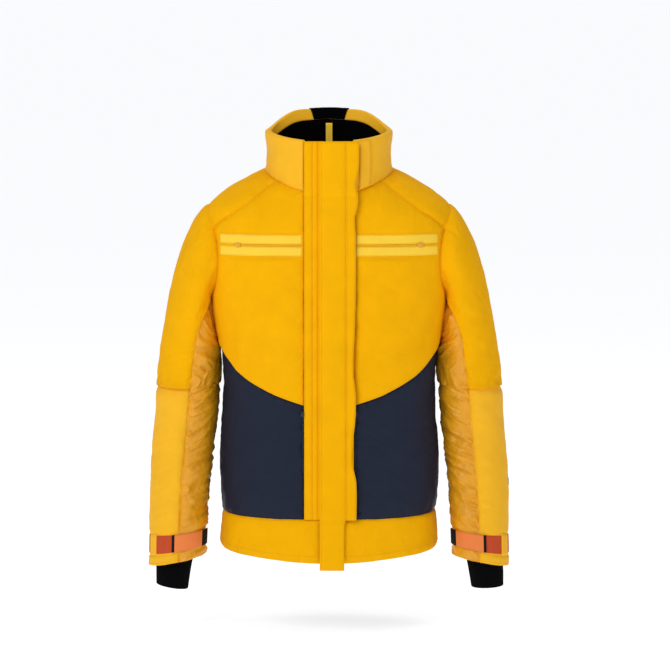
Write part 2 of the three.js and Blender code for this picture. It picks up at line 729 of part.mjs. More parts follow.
function sleeveSide(parent, name) {
  add(parent, `${name}_upper_sleeve`, sleevePanel(upStep, elbowAt, false, 12, 8), matteYellow);
  add(parent, `${name}_upper_under_sleeve`, sleevePanel(upStep, elbowAt, true, 6, 8), sheenYellow);
  const forearmTop = elbowAt + 0.01;
  add(parent, `${name}_lower_sleeve`, sleevePanel(forearmTop, cuffAt, false, 8, 5), lightYellow);
  add(parent, `${name}_lower_under_sleeve`, sleevePanel(forearmTop, cuffAt, true, 8, 5), sheenYellow);
  add(parent, `${name}_wrist_gaiter`, gaiter(), blackFleece);
  const wrap = (from, to, inner, outer, across) =>
    straightPanel(sleeve, from * DEG, to * DEG, strapAt.bottom, strapAt.top, inner, outer, across, 1);
  const patch = wrap(-104, 8, layerGap, layerGap + 1.2, 8);
  add(parent, `${name}_cuff_loop_patch`, patch, patchRed);
  const strap = wrap(-176, -84, 2 * layerGap + 1.6, 2 * layerGap + 3.8, 6);
  add(parent, `${name}_cuff_strap`, strap, strapOrange);
}

// ---- Pass pocket on the left forearm ------------------------------------------------
function passPocket() {
  const turn = 12 * DEG;
  const lowAt = 9.45;
  const highAt = 8.55;
  const seat = layerGap - passPocketSink;
  const low = sleeve(turn, lowAt, seat);
  const high = sleeve(turn, highAt, seat);
  const across = coilWidth / 2 / sleeveRing.half(lowAt);
  const coil = straightPanel(
    sleeve, turn - across, turn + across, lowAt, highAt, seat, seat + coilThickness, 1, 2,
  );
  add(jacket, "sleeve_pocket_zip", coil, blackPlastic);
  const track = new THREE.Group();
  track.position.copy(low);
  const upward = high.clone().sub(low).normalize();
  const outward = sleeve(turn, lowAt, 1).sub(sleeve(turn, lowAt, 0)).normalize();
  const sideways = new THREE.Vector3().crossVectors(upward, outward).normalize();
  outward.crossVectors(sideways, upward).normalize();
  track.setRotationFromMatrix(new THREE.Matrix4().makeBasis(outward, sideways.negate(), upward));
  jacket.add(track);
  const base = coilThickness + layerGap;
  const block = new THREE.BoxGeometry(sliderHeight, sliderWidth, sliderLength);
  block.translate(base + sliderHeight / 2, 0, sliderLength / 2);
  add(track, "sleeve_pocket_slider", block, blackPlastic);
  const pull = new THREE.BoxGeometry(1.4, 5, 24);
  pull.translate(base + sliderHeight + layerGap + 0.7, 0, sliderLength + seamGap / 2 - 12);
  add(track, "sleeve_pocket_puller", pull, blackPlastic);
}

// ---- Assembly -------------------------------------------------------------------------
const left = new THREE.Group();
const right = new THREE.Group();
right.scale.x = -1;
jacket.add(left, right);
for (const [parent, name] of [[left, "left"], [right, "right"]]) {
  bodySide(parent, name);
  handPocket(parent, name);
  chestPocket(parent, name);
  sleeveSide(parent, name);
}

const backEdge = outerEdge(1);
const backPanel = {
  bottom: diagonalBack,
  top: between([raglanNeck.back, neckFrontZ], [Math.PI - raglanNeck.back, neckFrontZ]),
  left: backEdge,
  right: mirrored(backEdge),
};
add(jacket, "back_panel", panel(body, backPanel, ...shell, 18, 20), matteYellow);
const backLower = {
  bottom: between([0, hemSeamZ], [Math.PI, hemSeamZ]),
  top: diagonalBack,
  left: between([0, hemSeamZ], [0, diagonalSide]),
  right: between([Math.PI, hemSeamZ], [Math.PI, diagonalSide]),
};
add(jacket, "back_lower_panel", panel(body, backLower, ...shell, 18, 5), navy);
const backHem = straightPanel(body, 0, Math.PI, hemFrontZ, hemSeamZ, ...shell, 16, 2);
add(jacket, "back_hem_band", backHem, matteYellow);

const liningLowZ = hemFrontZ + 12;
const liningTopZ = neckFrontZ - 1;
const backLiningSide = (t) => {
  if (t <= 0.5) return [0, liningLowZ + (t / 0.5) * (armhole.bottom - liningLowZ)];
  if (t <= 0.75) return armholeAt(Math.PI * (1 - (t - 0.5) / 0.25));
  return [0, armhole.top + ((t - 0.75) / 0.25) * (liningTopZ - armhole.top)];
};
const backLining = {
  bottom: between([0, liningLowZ], [Math.PI, liningLowZ]),
  top: between([0, liningTopZ], [Math.PI, liningTopZ]),
  left: backLiningSide,
  right: mirrored(backLiningSide),
};
add(jacket, "back_lining", panel(body, backLining, ...lining, 18, 16), darkLining);

collar();
hangerLoop();
centreFrontParts();
passPocket();

export default jacket;
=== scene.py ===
# %% [markdown]
# # A padded ski jacket, piece by piece
#
# A ski jacket is a set of flat panels sewn edge to edge over padding. The CAD model gives each
# panel its place and its joints. This lesson gives each one its look: the swell of the padding
# between two seams, the small puckers that a seam pulls into the cloth, stitches, zips and webbing.
#
# Each cell makes one kind of piece. A panel could be sculpted by hand, or copied from the CAD
# solid and subdivided. Here each one is drawn again as a smooth patch of the same surface, because
# a patch knows how far every point is from its seams, and that distance is what shapes padded cloth.

import math

import bmesh
import bpy
import numpy as np
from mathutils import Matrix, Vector
from mathutils.kdtree import KDTree


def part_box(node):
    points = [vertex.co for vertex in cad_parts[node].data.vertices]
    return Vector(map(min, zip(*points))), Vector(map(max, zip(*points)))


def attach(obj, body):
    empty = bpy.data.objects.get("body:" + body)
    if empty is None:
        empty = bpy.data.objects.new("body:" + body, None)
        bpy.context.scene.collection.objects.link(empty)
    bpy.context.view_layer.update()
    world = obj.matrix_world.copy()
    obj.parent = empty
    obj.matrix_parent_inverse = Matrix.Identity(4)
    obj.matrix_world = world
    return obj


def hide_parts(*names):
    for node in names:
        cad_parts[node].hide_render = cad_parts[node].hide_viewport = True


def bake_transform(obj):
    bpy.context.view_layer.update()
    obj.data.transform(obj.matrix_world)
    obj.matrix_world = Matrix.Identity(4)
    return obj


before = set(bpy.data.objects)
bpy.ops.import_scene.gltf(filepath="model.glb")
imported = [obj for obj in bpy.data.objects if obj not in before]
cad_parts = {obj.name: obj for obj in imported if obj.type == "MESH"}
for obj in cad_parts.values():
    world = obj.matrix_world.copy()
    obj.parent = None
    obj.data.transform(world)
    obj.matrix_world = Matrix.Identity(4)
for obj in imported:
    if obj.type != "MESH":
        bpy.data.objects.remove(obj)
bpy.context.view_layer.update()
scene = bpy.context.scene
DEG = math.pi / 180
MM = 0.001


def placed(name, data):
    """A new object that shows a mesh, a light or a camera."""
    obj = bpy.data.objects.new(name, data)
    scene.collection.objects.link(obj)
    return obj


# %% [markdown]
# ## The surfaces the panels lie on
#
# The body is a stack of rings, each a squared ellipse: its height at the front, side and back, its
# half width, its depth behind the middle and how square it is. The sleeves are rings too, from an
# outer point to an inner one. A point on either surface is named by two numbers, so a seam is just
# a line in those two numbers. Everything here is in millimetres and becomes metres in the meshes.

# %% Body and sleeve surfaces
HEM, HEM_SEAM, NECK, RIM = -795.0, -714.0, -121.0, -23.0
HEM_DEPTH, RIM_DEPTH = 150.0, 113.0
LEAN = math.atan2(HEM_DEPTH - RIM_DEPTH, RIM - HEM)
MID_Y = 0.5 * (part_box("left_front_panel")[1][1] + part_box("left_lower_panel")[1][1]) / MM

BODY_RINGS = np.array(
    [
        # front, side, back, width, depth, square
        [-795, -779, -803, 202, 128, 2.5],
        [-714, -713, -716, 198, 131, 2.5],
        [-630, -630, -630, 202, 133, 2.5],
        [-550, -550, -550, 198, 131, 2.5],
        [-480, -478, -480, 194, 129, 2.6],
        [-400, -395, -395, 200, 129, 2.8],
        [-320, -316, -313, 213, 131, 3.0],
        [-260, -240, -240, 223, 132, 3.0],
        [-215, -180, -176, 227, 127, 2.8],
        [-185, -146, -132, 221, 119, 2.6],
        [-160, -118, -97, 186, 107, 2.4],
        [-138, -95, -68, 146, 95, 2.3],
        [-121, -79, -50, 119, 85, 2.3],
        [-98, -60, -30, 113, 81, 2.4],
        [-70, -39, -8, 112, 82, 2.4],
        [-45, -21, 11, 115, 87, 2.4],
        [-23, -8, 26, 117, 93, 2.4],
    ],
    float,
)
SLEEVE_RINGS = np.array(
    [
        # outer x and z, inner x and z, middle, half depth
        [241, -165, 219, -334, -1, 83],
        [262, -206, 218, -352, 0, 83],
        [278, -254, 214, -376, 2, 81],
        [291, -308, 209, -402, 3, 78],
        [301, -366, 205, -426, 4, 75],
        [311, -424, 203, -450, 3, 72],
        [318, -481, 205, -481, 1, 69],
        [322, -545, 211, -545, -3, 65],
        [328, -620, 219, -618, -14, 60],
        [331, -705, 227, -700, -28, 55],
        [332, -812, 231, -791, -43, 51],
    ],
    float,
)


def curve_through(xs, ys):
    """A smooth curve through a few values, read at any x."""
    xs, ys = np.asarray(xs, float), np.asarray(ys, float)
    last = len(xs) - 1
    before = np.maximum(np.arange(len(xs)) - 1, 0)
    after = np.minimum(np.arange(len(xs)) + 1, last)
    slope = (ys[after] - ys[before]) / (xs[after] - xs[before])

    def at(x):
        i = np.clip(np.searchsorted(xs, x, side="left") - 1, 0, last - 1)
        w = xs[i + 1] - xs[i]
        t = (x - xs[i]) / w
        t2, t3 = t * t, t * t * t
        return (
            ys[i] * (2 * t3 - 3 * t2 + 1)
            + ys[i + 1] * (3 * t2 - 2 * t3)
            + slope[i] * w * (t3 - 2 * t2 + t)
            + slope[i + 1] * w * (t3 - t2)
        )

    return at


ring_side, ring_back, ring_width, ring_depth, ring_square = (
    curve_through(BODY_RINGS[:, 0], BODY_RINGS[:, k]) for k in range(1, 6)
)
sleeve_rows = np.arange(1, 12)
outer_x, outer_z, inner_x, inner_z, ring_middle, ring_half = (
    curve_through(sleeve_rows, SLEEVE_RINGS[:, k]) for k in range(6)
)


def body_face(angle, height):
    c, s = np.cos(angle), np.sin(angle)
    front = HEM_DEPTH - (height - HEM) * math.tan(LEAN)
    depth = np.where(s < 0, front, ring_depth(height))
    end = np.where(s < 0, height, ring_back(height))
    n = ring_square(height)
    r = (np.abs(c / ring_width(height)) ** n + np.abs(s / depth) ** n) ** (-1 / n)
    return np.stack([r * c, MID_Y + r * s, ring_side(height) * c * c + end * s * s], -1)


def ring_point(turn, at):
    c = np.cos(turn)
    x = (outer_x(at) * (1 + c) + inner_x(at) * (1 - c)) / 2
    z = (outer_z(at) * (1 + c) + inner_z(at) * (1 - c)) / 2
    return np.stack([x, MID_Y + ring_middle(at) + ring_half(at) * np.sin(turn), z], -1)


REACH, ARM_TOP, ARM_LOW = 21 * DEG, -185.0, -322.0


def armhole(turn):
    half = (ARM_TOP - ARM_LOW) / 2
    return REACH * np.sin(turn), (ARM_TOP + ARM_LOW) / 2 + half * np.cos(turn)


def sleeve_face(turn, at):
    turn, at = np.broadcast_arrays(np.asarray(turn, float), np.asarray(at, float))
    one = np.ones_like(at)
    root = body_face(*armhole(turn))
    end = ring_point(turn, one)
    speed = (ring_point(turn, one * 1.02) - end) * 50
    t = np.clip(at, 0, 1)[..., None]
    near = root * (1 - t) ** 2 + (end - speed / 2) * 2 * t * (1 - t) + end * t * t
    return np.where(at[..., None] >= 1, ring_point(turn, np.maximum(at, 1)), near)


def with_offset(face, da, db):
    """The surface moved along its outward normal by an offset that may differ from point to point."""

    def moved(a, b, offset=0.0):
        along_a = face(a + da, b) - face(a - da, b)
        along_b = face(a, b + db) - face(a, b - db)
        normal = np.cross(along_a, along_b)
        normal /= np.linalg.norm(normal, axis=-1, keepdims=True) + 1e-12
        return face(a, b) + normal * np.asarray(offset)[..., None]

    return moved


body = with_offset(body_face, 0.01, 0.5)
sleeve = with_offset(sleeve_face, 0.02, -0.02)


def angle_at(x, height):
    """The angle on the front half where the body is x to the left of the middle."""
    x, height = np.broadcast_arrays(np.asarray(x, float), np.asarray(height, float))
    angle = np.full(x.shape, -math.pi / 2)
    for _ in range(12):
        angle = -math.pi / 2 + np.arctan2(x, MID_Y - body_face(angle, height)[..., 1])
    return angle


def height_at(angle, z):
    height = np.array(z, float) + 0 * angle
    for _ in range(25):
        height = height + 0.7 * (z - body_face(angle, height)[..., 2])
    return height


for side_name in ("left_front_panel", "back_panel", "left_upper_sleeve"):
    low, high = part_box(side_name)
    print(side_name, "spans", np.round((np.array(high) - low) / MM, 1).tolist(), "mm")
print("middle of the body at y", round(MID_Y, 2), "mm")

# %% [markdown]
# ## Patches
#
# A patch is a four-sided piece of a surface between four seam lines. A Coons patch blends the two
# pairs of edges, so one function draws a rectangular pocket band and a front panel whose outer edge
# runs up the side seam, round the armhole and along the raglan seam. The same patch is sampled
# twice: coarsely for the cloth simulation, finely for the mesh that is drawn.

# %% Patches between seams
def mix(p, q, t):
    """A point or a line between two points named by the surface's two numbers."""
    t = np.asarray(t, float)
    return tuple(a + (b - a) * t for a, b in zip(p, q))


def line(p, q):
    return lambda t: mix(p, q, t)


def box_edges(a0, a1, b0, b1):
    return dict(
        bottom=line((a0, b0), (a1, b0)),
        top=line((a0, b1), (a1, b1)),
        left=line((a0, b0), (a0, b1)),
        right=line((a1, b0), (a1, b1)),
    )


def coons(edges, s, t):
    """The surface's two numbers on a grid of s across and t up."""
    s, t = np.asarray(s, float)[None, :], np.asarray(t, float)[:, None]
    corners = {(edge, end): edges[edge](float(end)) for edge in ("bottom", "top") for end in (0, 1)}
    out = []
    for k in range(2):
        bottom, top = (np.asarray(edges[e](s[0])[k])[None, :] for e in ("bottom", "top"))
        left, right = (np.asarray(edges[e](t[:, 0])[k])[:, None] for e in ("left", "right"))
        out.append(
            (1 - t) * bottom + t * top + (1 - s) * left + s * right
            - (1 - s) * (1 - t) * corners["bottom", 0][k] - s * (1 - t) * corners["bottom", 1][k]
            - (1 - s) * t * corners["top", 0][k] - s * t * corners["top", 1][k]
        )
    return out


def lengths(points, axis):
    """How far each point of a grid is along its row or column."""
    step = np.linalg.norm(np.diff(points, axis=axis), axis=-1)
    start = np.zeros_like(np.take(step, [0], axis=axis))
    return np.concatenate([start, np.cumsum(step, axis=axis)], axis=axis)


FINE = 3  # fine cells along each side of a coarse one


class Patch:
    """A grid on a surface. sewn lists the edges a seam pulls in, and held those it keeps in place."""

    def __init__(
        self, surface, edges, sewn="left right bottom top", spacing=8.0, cols=None, rows=None, held=None
    ):
        self.surface, self.edges = surface, edges
        self.sewn, self.held = sewn.split(), (held or sewn).split()
        rough = surface(*coons(edges, np.linspace(0, 1, 9), np.linspace(0, 1, 9)))
        wide = lengths(rough, 1)[:, -1].max()
        tall = lengths(rough, 0)[-1].max()
        self.ns = cols or max(2, round(wide / spacing))
        self.nt = rows or max(2, round(tall / spacing))
        self.rough = self.points(1)
        self.moved = np.zeros_like(self.rough)

    def points(self, k, extra=0.0):
        s, t = np.linspace(0, 1, self.ns * k + 1), np.linspace(0, 1, self.nt * k + 1)
        a, b = coons(self.edges, s, t)
        return self.surface(a, b, np.zeros(a.shape) + extra)

    def border(self, edge, grid):
        return {"left": grid[:, 0], "right": grid[:, -1], "bottom": grid[0], "top": grid[-1]}[edge]

    def fine(self):
        """The fine grid with what the simulation moved, its outward normals and its metric u and v."""
        base = self.points(FINE)
        out = self.points(FINE, 1.0) - base
        shift = cubic(cubic(self.moved, FINE, 0), FINE, 1)
        return base, out, shift, lengths(base, 1), lengths(base, 0)


def cubic(grid, k, axis):
    """A grid resampled k times finer along one axis by Catmull-Rom curves through its points."""
    g = np.moveaxis(grid, axis, 0)
    n = len(g) - 1
    t = np.arange(n * k + 1) / k
    i = np.minimum(t.astype(int), n - 1)
    f = (t - i).reshape(-1, *([1] * (g.ndim - 1)))
    p0, p1, p2, p3 = (g[np.clip(i + d, 0, n)] for d in (-1, 0, 1, 2))
    made = 0.5 * (
        2 * p1 + (p2 - p0) * f + (2 * p0 - 5 * p1 + 4 * p2 - p3) * f**2 + (3 * p1 - p0 - 3 * p2 + p3) * f**3
    )
    return np.moveaxis(made, 0, axis)


def grid_quads(rows, cols, first=0):
    i = first + np.arange((rows - 1) * cols).reshape(rows - 1, cols)[:, :-1]
    return np.stack([i, i + 1, i + 1 + cols, i + cols], -1).reshape(-1, 4)


# %% [markdown]
# ## Noise
#
# Padding is never even, so each panel needs a little unevenness. It is smooth noise read at the
# point's place in space, which keeps it continuous where two patches make one panel.

# %% Smooth noise
def noise(points, cell, seed=0):
    """Smooth noise from -1 to 1 at each point, with features about one cell wide."""
    p = np.asarray(points, float) / cell
    i = np.floor(p).astype(np.int64)
    f = p - i
    f = f * f * (3 - 2 * f)
    total = 0.0
    for corner in range(8):
        d = np.array([corner >> 2 & 1, corner >> 1 & 1, corner & 1])
        n = ((i + d) * np.array([374761393, 668265263, 1103515245])).sum(-1) + seed * 1442695041
        n = (n ^ (n >> 13)) * 1274126177 & 0x7FFFFFFF
        n = (n ^ (n >> 16)) & 0xFFFF
        weight = np.where(d, f, 1 - f).prod(-1)
        total = total + weight * (n / 32767.5 - 1)
    return total


# %% [markdown]
# ## The cloth simulation
#
# Folds come from cloth that is a little longer than the gap it is sewn into. So every patch is
# pinned along its seams, its springs are made longer than they are drawn by the amount of slack,
# and a faint pressure stands for the padding. All patches are simulated at once as loose islands.
# Modelling the folds by hand would take longer and would look the same on both sleeves.

# %% Relax the cloth
def relax(patches, frames=26):
    """Simulates patches given as (patch, slack) and keeps how each point of their coarse grids moved."""
    points, quads, pin, slack, owner = [], [], [], [], []
    count = 0
    for patch, loose in patches:
        grid = patch.rough
        rows, cols = grid.shape[:2]
        held = np.zeros((rows, cols))
        for edge in patch.held:
            patch.border(edge, held)[...] = 1
        points.append(grid.reshape(-1, 3))
        quads.append(grid_quads(rows, cols, count))
        pin.append(held.ravel())
        slack.append(np.full(rows * cols, loose))
        count += rows * cols
    points, pin, slack = np.concatenate(points), np.concatenate(pin), np.concatenate(slack)
    quads = np.concatenate(quads)
    _, first, same = np.unique(np.round(points, 2), axis=0, return_index=True, return_inverse=True)
    same = same.reshape(-1)
    held = np.zeros(len(first))
    np.maximum.at(held, same, pin)
    mesh = bpy.data.meshes.new("cloth_work")
    unit = 0.01  # the solver behaves best at metre sizes, so 100 mm is worked as a metre
    start = points[first] + noise(points[first], 24.0, 5)[:, None] * 0.5
    mesh.from_pydata((start * unit).tolist(), [], same[quads].tolist())
    work = placed("cloth_work", mesh)
    pins = work.vertex_groups.new(name="pins")
    for i in np.nonzero(held)[0]:
        pins.add([int(i)], 1.0, "REPLACE")
    group = work.vertex_groups.new(name="slack")
    most = float(slack.max())
    for value in np.unique(slack):
        rows = np.nonzero(slack[first] == value)[0].tolist()
        group.add(rows, float(value / most), "REPLACE")
    cloth = work.modifiers.new("Cloth", "CLOTH")
    s = cloth.settings
    s.quality = 6
    s.mass = 0.4
    s.tension_stiffness = s.compression_stiffness = 20
    s.shear_stiffness = 6
    s.bending_stiffness = 0.6
    s.tension_damping = s.compression_damping = 12
    s.air_damping = 3
    s.vertex_group_mass = "pins"
    s.pin_stiffness = 1
    s.vertex_group_shrink = "slack"
    s.shrink_min = 0.0
    s.shrink_max = -most
    s.use_pressure = True
    s.uniform_pressure_force = 0.35
    s.effector_weights.gravity = 0.35
    cloth.collision_settings.use_collision = False
    cloth.point_cache.frame_start, cloth.point_cache.frame_end = 1, frames
    for f in range(1, frames + 1):
        scene.frame_set(f)
    done = work.evaluated_get(bpy.context.evaluated_depsgraph_get()).data
    after = np.empty(len(done.vertices) * 3)
    done.vertices.foreach_get("co", after)
    moved = (after.reshape(-1, 3) / unit - points[first])[same]
    bpy.data.objects.remove(work)
    bpy.data.meshes.remove(mesh)
    scene.frame_set(1)
    at = 0
    for patch, _ in patches:
        n = patch.rough.shape[0] * patch.rough.shape[1]
        patch.moved = moved[at : at + n].reshape(patch.rough.shape)
        at += n
    size = np.linalg.norm(moved, axis=1)
    print(f"relaxed {len(first)} points, which moved {size.mean():.1f} mm, {size.max():.1f} at most")

# %% [markdown]
# ## Materials
#
# Every fabric is woven, knitted or brushed, and that texture is what catches the light. Each
# material reads the patch's own metric coordinates, so its threads run along the panel, at the
# real size of the thread. Colours are written as screen colours and turned linear once.

# %% Materials
def linear(hex_colour):
    """A screen colour such as f2b200 as linear red, green, blue, alpha."""
    out = []
    for i in (0, 2, 4):
        c = int(hex_colour[i : i + 2], 16) / 255
        out.append(c / 12.92 if c <= 0.04045 else ((c + 0.055) / 1.055) ** 2.4)
    return (*out, 1.0)


def node(tree, kind, inputs=(), **settings):
    """Adds a node, sets its properties, and links or sets its inputs by name or index."""
    made = tree.nodes.new(kind)
    for key, value in settings.items():
        setattr(made, key, value)
    for key, value in dict(inputs).items():
        socket = made.inputs[key]
        if isinstance(value, bpy.types.NodeSocket):
            tree.links.new(value, socket)
        else:
            socket.default_value = value
    return made


def fabric(
    name, colour, roughness=0.7, thread=0.35, bump=0.5, sheen=0.0, mottle=0.05, crinkle=0.0, rib=0.0,
    shine=0.2,
):
    """Woven cloth: threads of a width in mm, faint mottling, fine crinkles and ribs of a width in mm."""
    mat = bpy.data.materials.new(name)
    mat.use_nodes = True
    t = mat.node_tree
    t.nodes.clear()
    uv = node(t, "ShaderNodeUVMap", uv_map="cloth").outputs[0]
    place = node(t, "ShaderNodeTexCoord").outputs["Object"]
    per_metre = 314.16  # a wave texture of scale 314.16 repeats every millimetre
    threads = []
    for way in ("X", "Y"):
        size = rib if rib and way == "X" else 2 * thread
        wave = node(t, "ShaderNodeTexWave", {"Vector": uv, "Scale": per_metre / size}, bands_direction=way)
        threads.append(wave.outputs["Fac"])
    height = node(t, "ShaderNodeMath", {0: threads[0], 1: threads[1]}, operation="MULTIPLY").outputs[0]
    if crinkle:
        folded = {"Vector": place, "Scale": 90.0, "Detail": 5.0, "Distortion": 1.0}
        fine = node(t, "ShaderNodeTexNoise", folded)
        scaled = node(t, "ShaderNodeMath", {0: fine.outputs[0], 1: crinkle}, operation="MULTIPLY").outputs[0]
        height = node(t, "ShaderNodeMath", {0: height, 1: scaled}, operation="ADD").outputs[0]
    patchy = node(t, "ShaderNodeTexNoise", {"Vector": place, "Scale": 28.0, "Detail": 3.0}).outputs[0]
    base = linear(colour)
    tone = node(t, "ShaderNodeMix", {0: patchy}, data_type="RGBA")
    tone.inputs[6].default_value = tuple(c * (1 - mottle) ** 2.2 for c in base[:3]) + (1,)
    tone.inputs[7].default_value = tuple(min(1, c * (1 + mottle)) for c in base[:3]) + (1,)
    depth = (rib or thread) * MM * 0.5
    raised = node(t, "ShaderNodeBump", {"Height": height, "Strength": bump, "Distance": depth}).outputs[0]
    finish = {"Roughness": roughness, "IOR": 1.5, "Sheen Weight": sheen, "Specular IOR Level": shine}
    shader = node(
        t, "ShaderNodeBsdfPrincipled", {"Base Color": tone.outputs[2], "Normal": raised, **finish}
    )
    node(t, "ShaderNodeOutputMaterial", {"Surface": shader.outputs[0]})
    mat.diffuse_color = base
    return mat


def plastic(name, colour, roughness=0.35):
    """Moulded nylon or acetal, with a faint grain."""
    mat = bpy.data.materials.new(name)
    mat.use_nodes = True
    t = mat.node_tree
    shader = t.nodes["Principled BSDF"]
    shader.inputs["Base Color"].default_value = linear(colour)
    shader.inputs["Roughness"].default_value = roughness
    shader.inputs["IOR"].default_value = 1.53
    place = node(t, "ShaderNodeTexCoord").outputs["Object"]
    grain = node(t, "ShaderNodeTexNoise", {"Vector": place, "Scale": 900.0}).outputs[0]
    raised = node(t, "ShaderNodeBump", {"Height": grain, "Strength": 0.2, "Distance": 0.00005})
    t.links.new(raised.outputs[0], shader.inputs["Normal"])
    mat.diffuse_color = linear(colour)
    return mat


# Plain woven polyester: matt, with threads that just show. It covers the chest, shoulders and hem.
MATTE = fabric("polyester_plain_weave_yellow", "f1ae02", roughness=0.85, thread=0.4, shine=0.06)
# Air-textured nylon: finer and a little brighter, on the forearms and collar.
LIGHT = fabric("nylon_taslan_light_yellow", "f2b41e", roughness=0.62, thread=0.25, bump=0.35, shine=0.15)
# Calendered ripstop: pressed between hot rollers, so it shines and creases.
GOLD = fabric(
    "nylon_ripstop_gold_calendered", "e49e14", roughness=0.4, thread=0.2, bump=0.25, crinkle=1.4, shine=0.4
)
# Dyed nylon weave: dark and smooth, with a dull gleam along its folds.
NAVY = fabric("nylon_plain_weave_navy", "181f31", roughness=0.55, thread=0.25, bump=0.3, shine=0.15)
# Taffeta: thin and slippery, and a shade lighter than the fleece and knit beside it.
LINING = fabric("polyester_taffeta_lining_black", "15161b", roughness=0.5, thread=0.2, bump=0.2)
# Brushed and looped surfaces have next to no gloss, only a rough nap.
FLEECE = fabric(
    "polyester_brushed_fleece_black", "060608", roughness=1.0, thread=0.8, bump=0.8, crinkle=1.0, shine=0.0
)
PILE = fabric(
    "nylon_loop_pile_red", "c4502f", roughness=0.95, thread=0.7, bump=0.9, crinkle=1.0, shine=0.05
)
# Ribbed goods catch the light on each rib. rib is the width of one, in mm.
KNIT = fabric(
    "nylon_elastane_rib_knit_black", "08080a", roughness=0.9, thread=0.9, bump=0.9, rib=3.2, shine=0.05
)
RIBBON = fabric(
    "polyester_grosgrain_yellow", "ffd03c", roughness=0.6, thread=0.45, bump=0.35, rib=3.6, shine=0.15
)
# Spun thread is dull. Stitches are drawn thicker than the real 0.3 mm, so that a row shows as a line.
THREAD = fabric("polyester_sewing_thread_yellow", "dc9f12", roughness=0.6, thread=0.15, bump=0.3)
# The film on a coated strap gives it a smooth, even colour. Its ends are rough hook tape.
STRAP = fabric("polyurethane_coated_strap_orange", "e9803f", roughness=0.5, thread=0.5, bump=0.3)
HOOK = fabric("nylon_hook_tape_black", "0c0c0e", roughness=0.8, thread=0.6, bump=0.8)
# Zip tape is woven and flat. Moulded acetal is smooth, with a small highlight on each tooth.
TAPE = fabric("polyester_zip_tape_yellow", "e9a80c", roughness=0.75, thread=0.3, bump=0.6)
TEETH = plastic("acetal_moulded_zip_yellow", "e0a318", 0.4)
BLACK = plastic("acetal_moulded_zip_black", "0c0c0e", 0.35)
print(len(bpy.data.materials), "materials")

# %% [markdown]
# ## Padded shells
#
# A shell takes one or more patches, adds the folds the simulation found, dips the cloth into every
# seam, swells it between them, and pulls short puckers across each seam. Then it is closed with an
# inner face and a rim. The inner face shows the lining.

# %% Padded shells
def smooth(x):
    x = np.clip(x, 0, 1)
    return x * x * (3 - 2 * x)


def add_mesh(name, points, faces, materials, kinds, uv):
    """A smooth mesh from millimetre points. uv is (u, v) in mm for every corner of every face."""
    mesh = bpy.data.meshes.new(name)
    mesh.from_pydata((np.asarray(points) * MM).tolist(), [], faces.tolist())
    for mat in materials:
        mesh.materials.append(mat)
    mesh.polygons.foreach_set("material_index", kinds)
    mesh.shade_smooth()
    layer = mesh.uv_layers.new(name="cloth")
    layer.data.foreach_set("uv", (np.asarray(uv, np.float32) * MM).ravel())
    return placed(name, mesh)


def point_tree(points):
    """The points, ready to be searched for those near a place."""
    tree = KDTree(len(points))
    for i, p in enumerate(points):
        tree.insert(p, i)
    tree.balance()
    return tree


def nearest(points, targets):
    """For each point, which target is nearest and how far away it is."""
    tree = point_tree(targets)
    found = [tree.find(p) for p in points]
    return np.array([f[1] for f in found]), np.array([f[2] for f in found])


def carry(obj, body, weights=None, replaces=()):
    """Puts a finished piece on its body. A piece given weights only has its place baked into its mesh."""
    if weights is None:
        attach(obj, body)
    else:
        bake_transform(obj)
    if replaces:
        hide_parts(*replaces)
    return obj


def close_shell(name, key, top, under, quads, uv, materials, side=1, weights=None):
    """Joins grids at equal keys and closes them: outer faces, their inner copies and a rim."""
    _, first, same = np.unique(np.round(key, 2), axis=0, return_index=True, return_inverse=True)
    same = same.reshape(-1)
    n = len(first)
    flip = np.array([side, 1, 1])
    points = np.concatenate([top[first], under[first]]) * flip
    outer = same[quads]
    edges = np.concatenate([outer[:, [k, (k + 1) % 4]] for k in range(4)])
    rim = edges[~np.isin(edges[:, 0] * n + edges[:, 1], edges[:, 1] * n + edges[:, 0])]
    walls = np.stack([rim[:, 1], rim[:, 0], rim[:, 0] + n, rim[:, 1] + n], -1)
    faces = np.concatenate([outer, outer[:, ::-1] + n, walls])
    one_uv = uv[first]
    corners = np.concatenate([uv[quads], uv[quads[:, ::-1]], one_uv[walls % n]])
    if side < 0:
        faces, corners = faces[:, ::-1], corners[:, ::-1]
    kinds = np.zeros(len(faces), np.int32)
    kinds[len(quads) : 2 * len(quads)] = len(materials) - 1
    obj = add_mesh(name, points, faces, materials, kinds, corners)
    mesh = obj.data
    pairs = np.sort(rim, 1)
    sharp = np.concatenate([pairs[:, 0] * 2 * n + pairs[:, 1], (pairs[:, 0] + n) * 2 * n + pairs[:, 1] + n])
    ends = np.empty(len(mesh.edges) * 2, np.int64)
    mesh.edges.foreach_get("vertices", ends)
    ends = np.sort(ends.reshape(-1, 2), 1)
    marks = mesh.attributes.new("sharp_edge", "BOOLEAN", "EDGE")
    marks.data.foreach_set("value", np.isin(ends[:, 0] * 2 * n + ends[:, 1], sharp))
    if weights is None:
        return obj, None
    return obj, np.concatenate([weights[first], weights[first]])


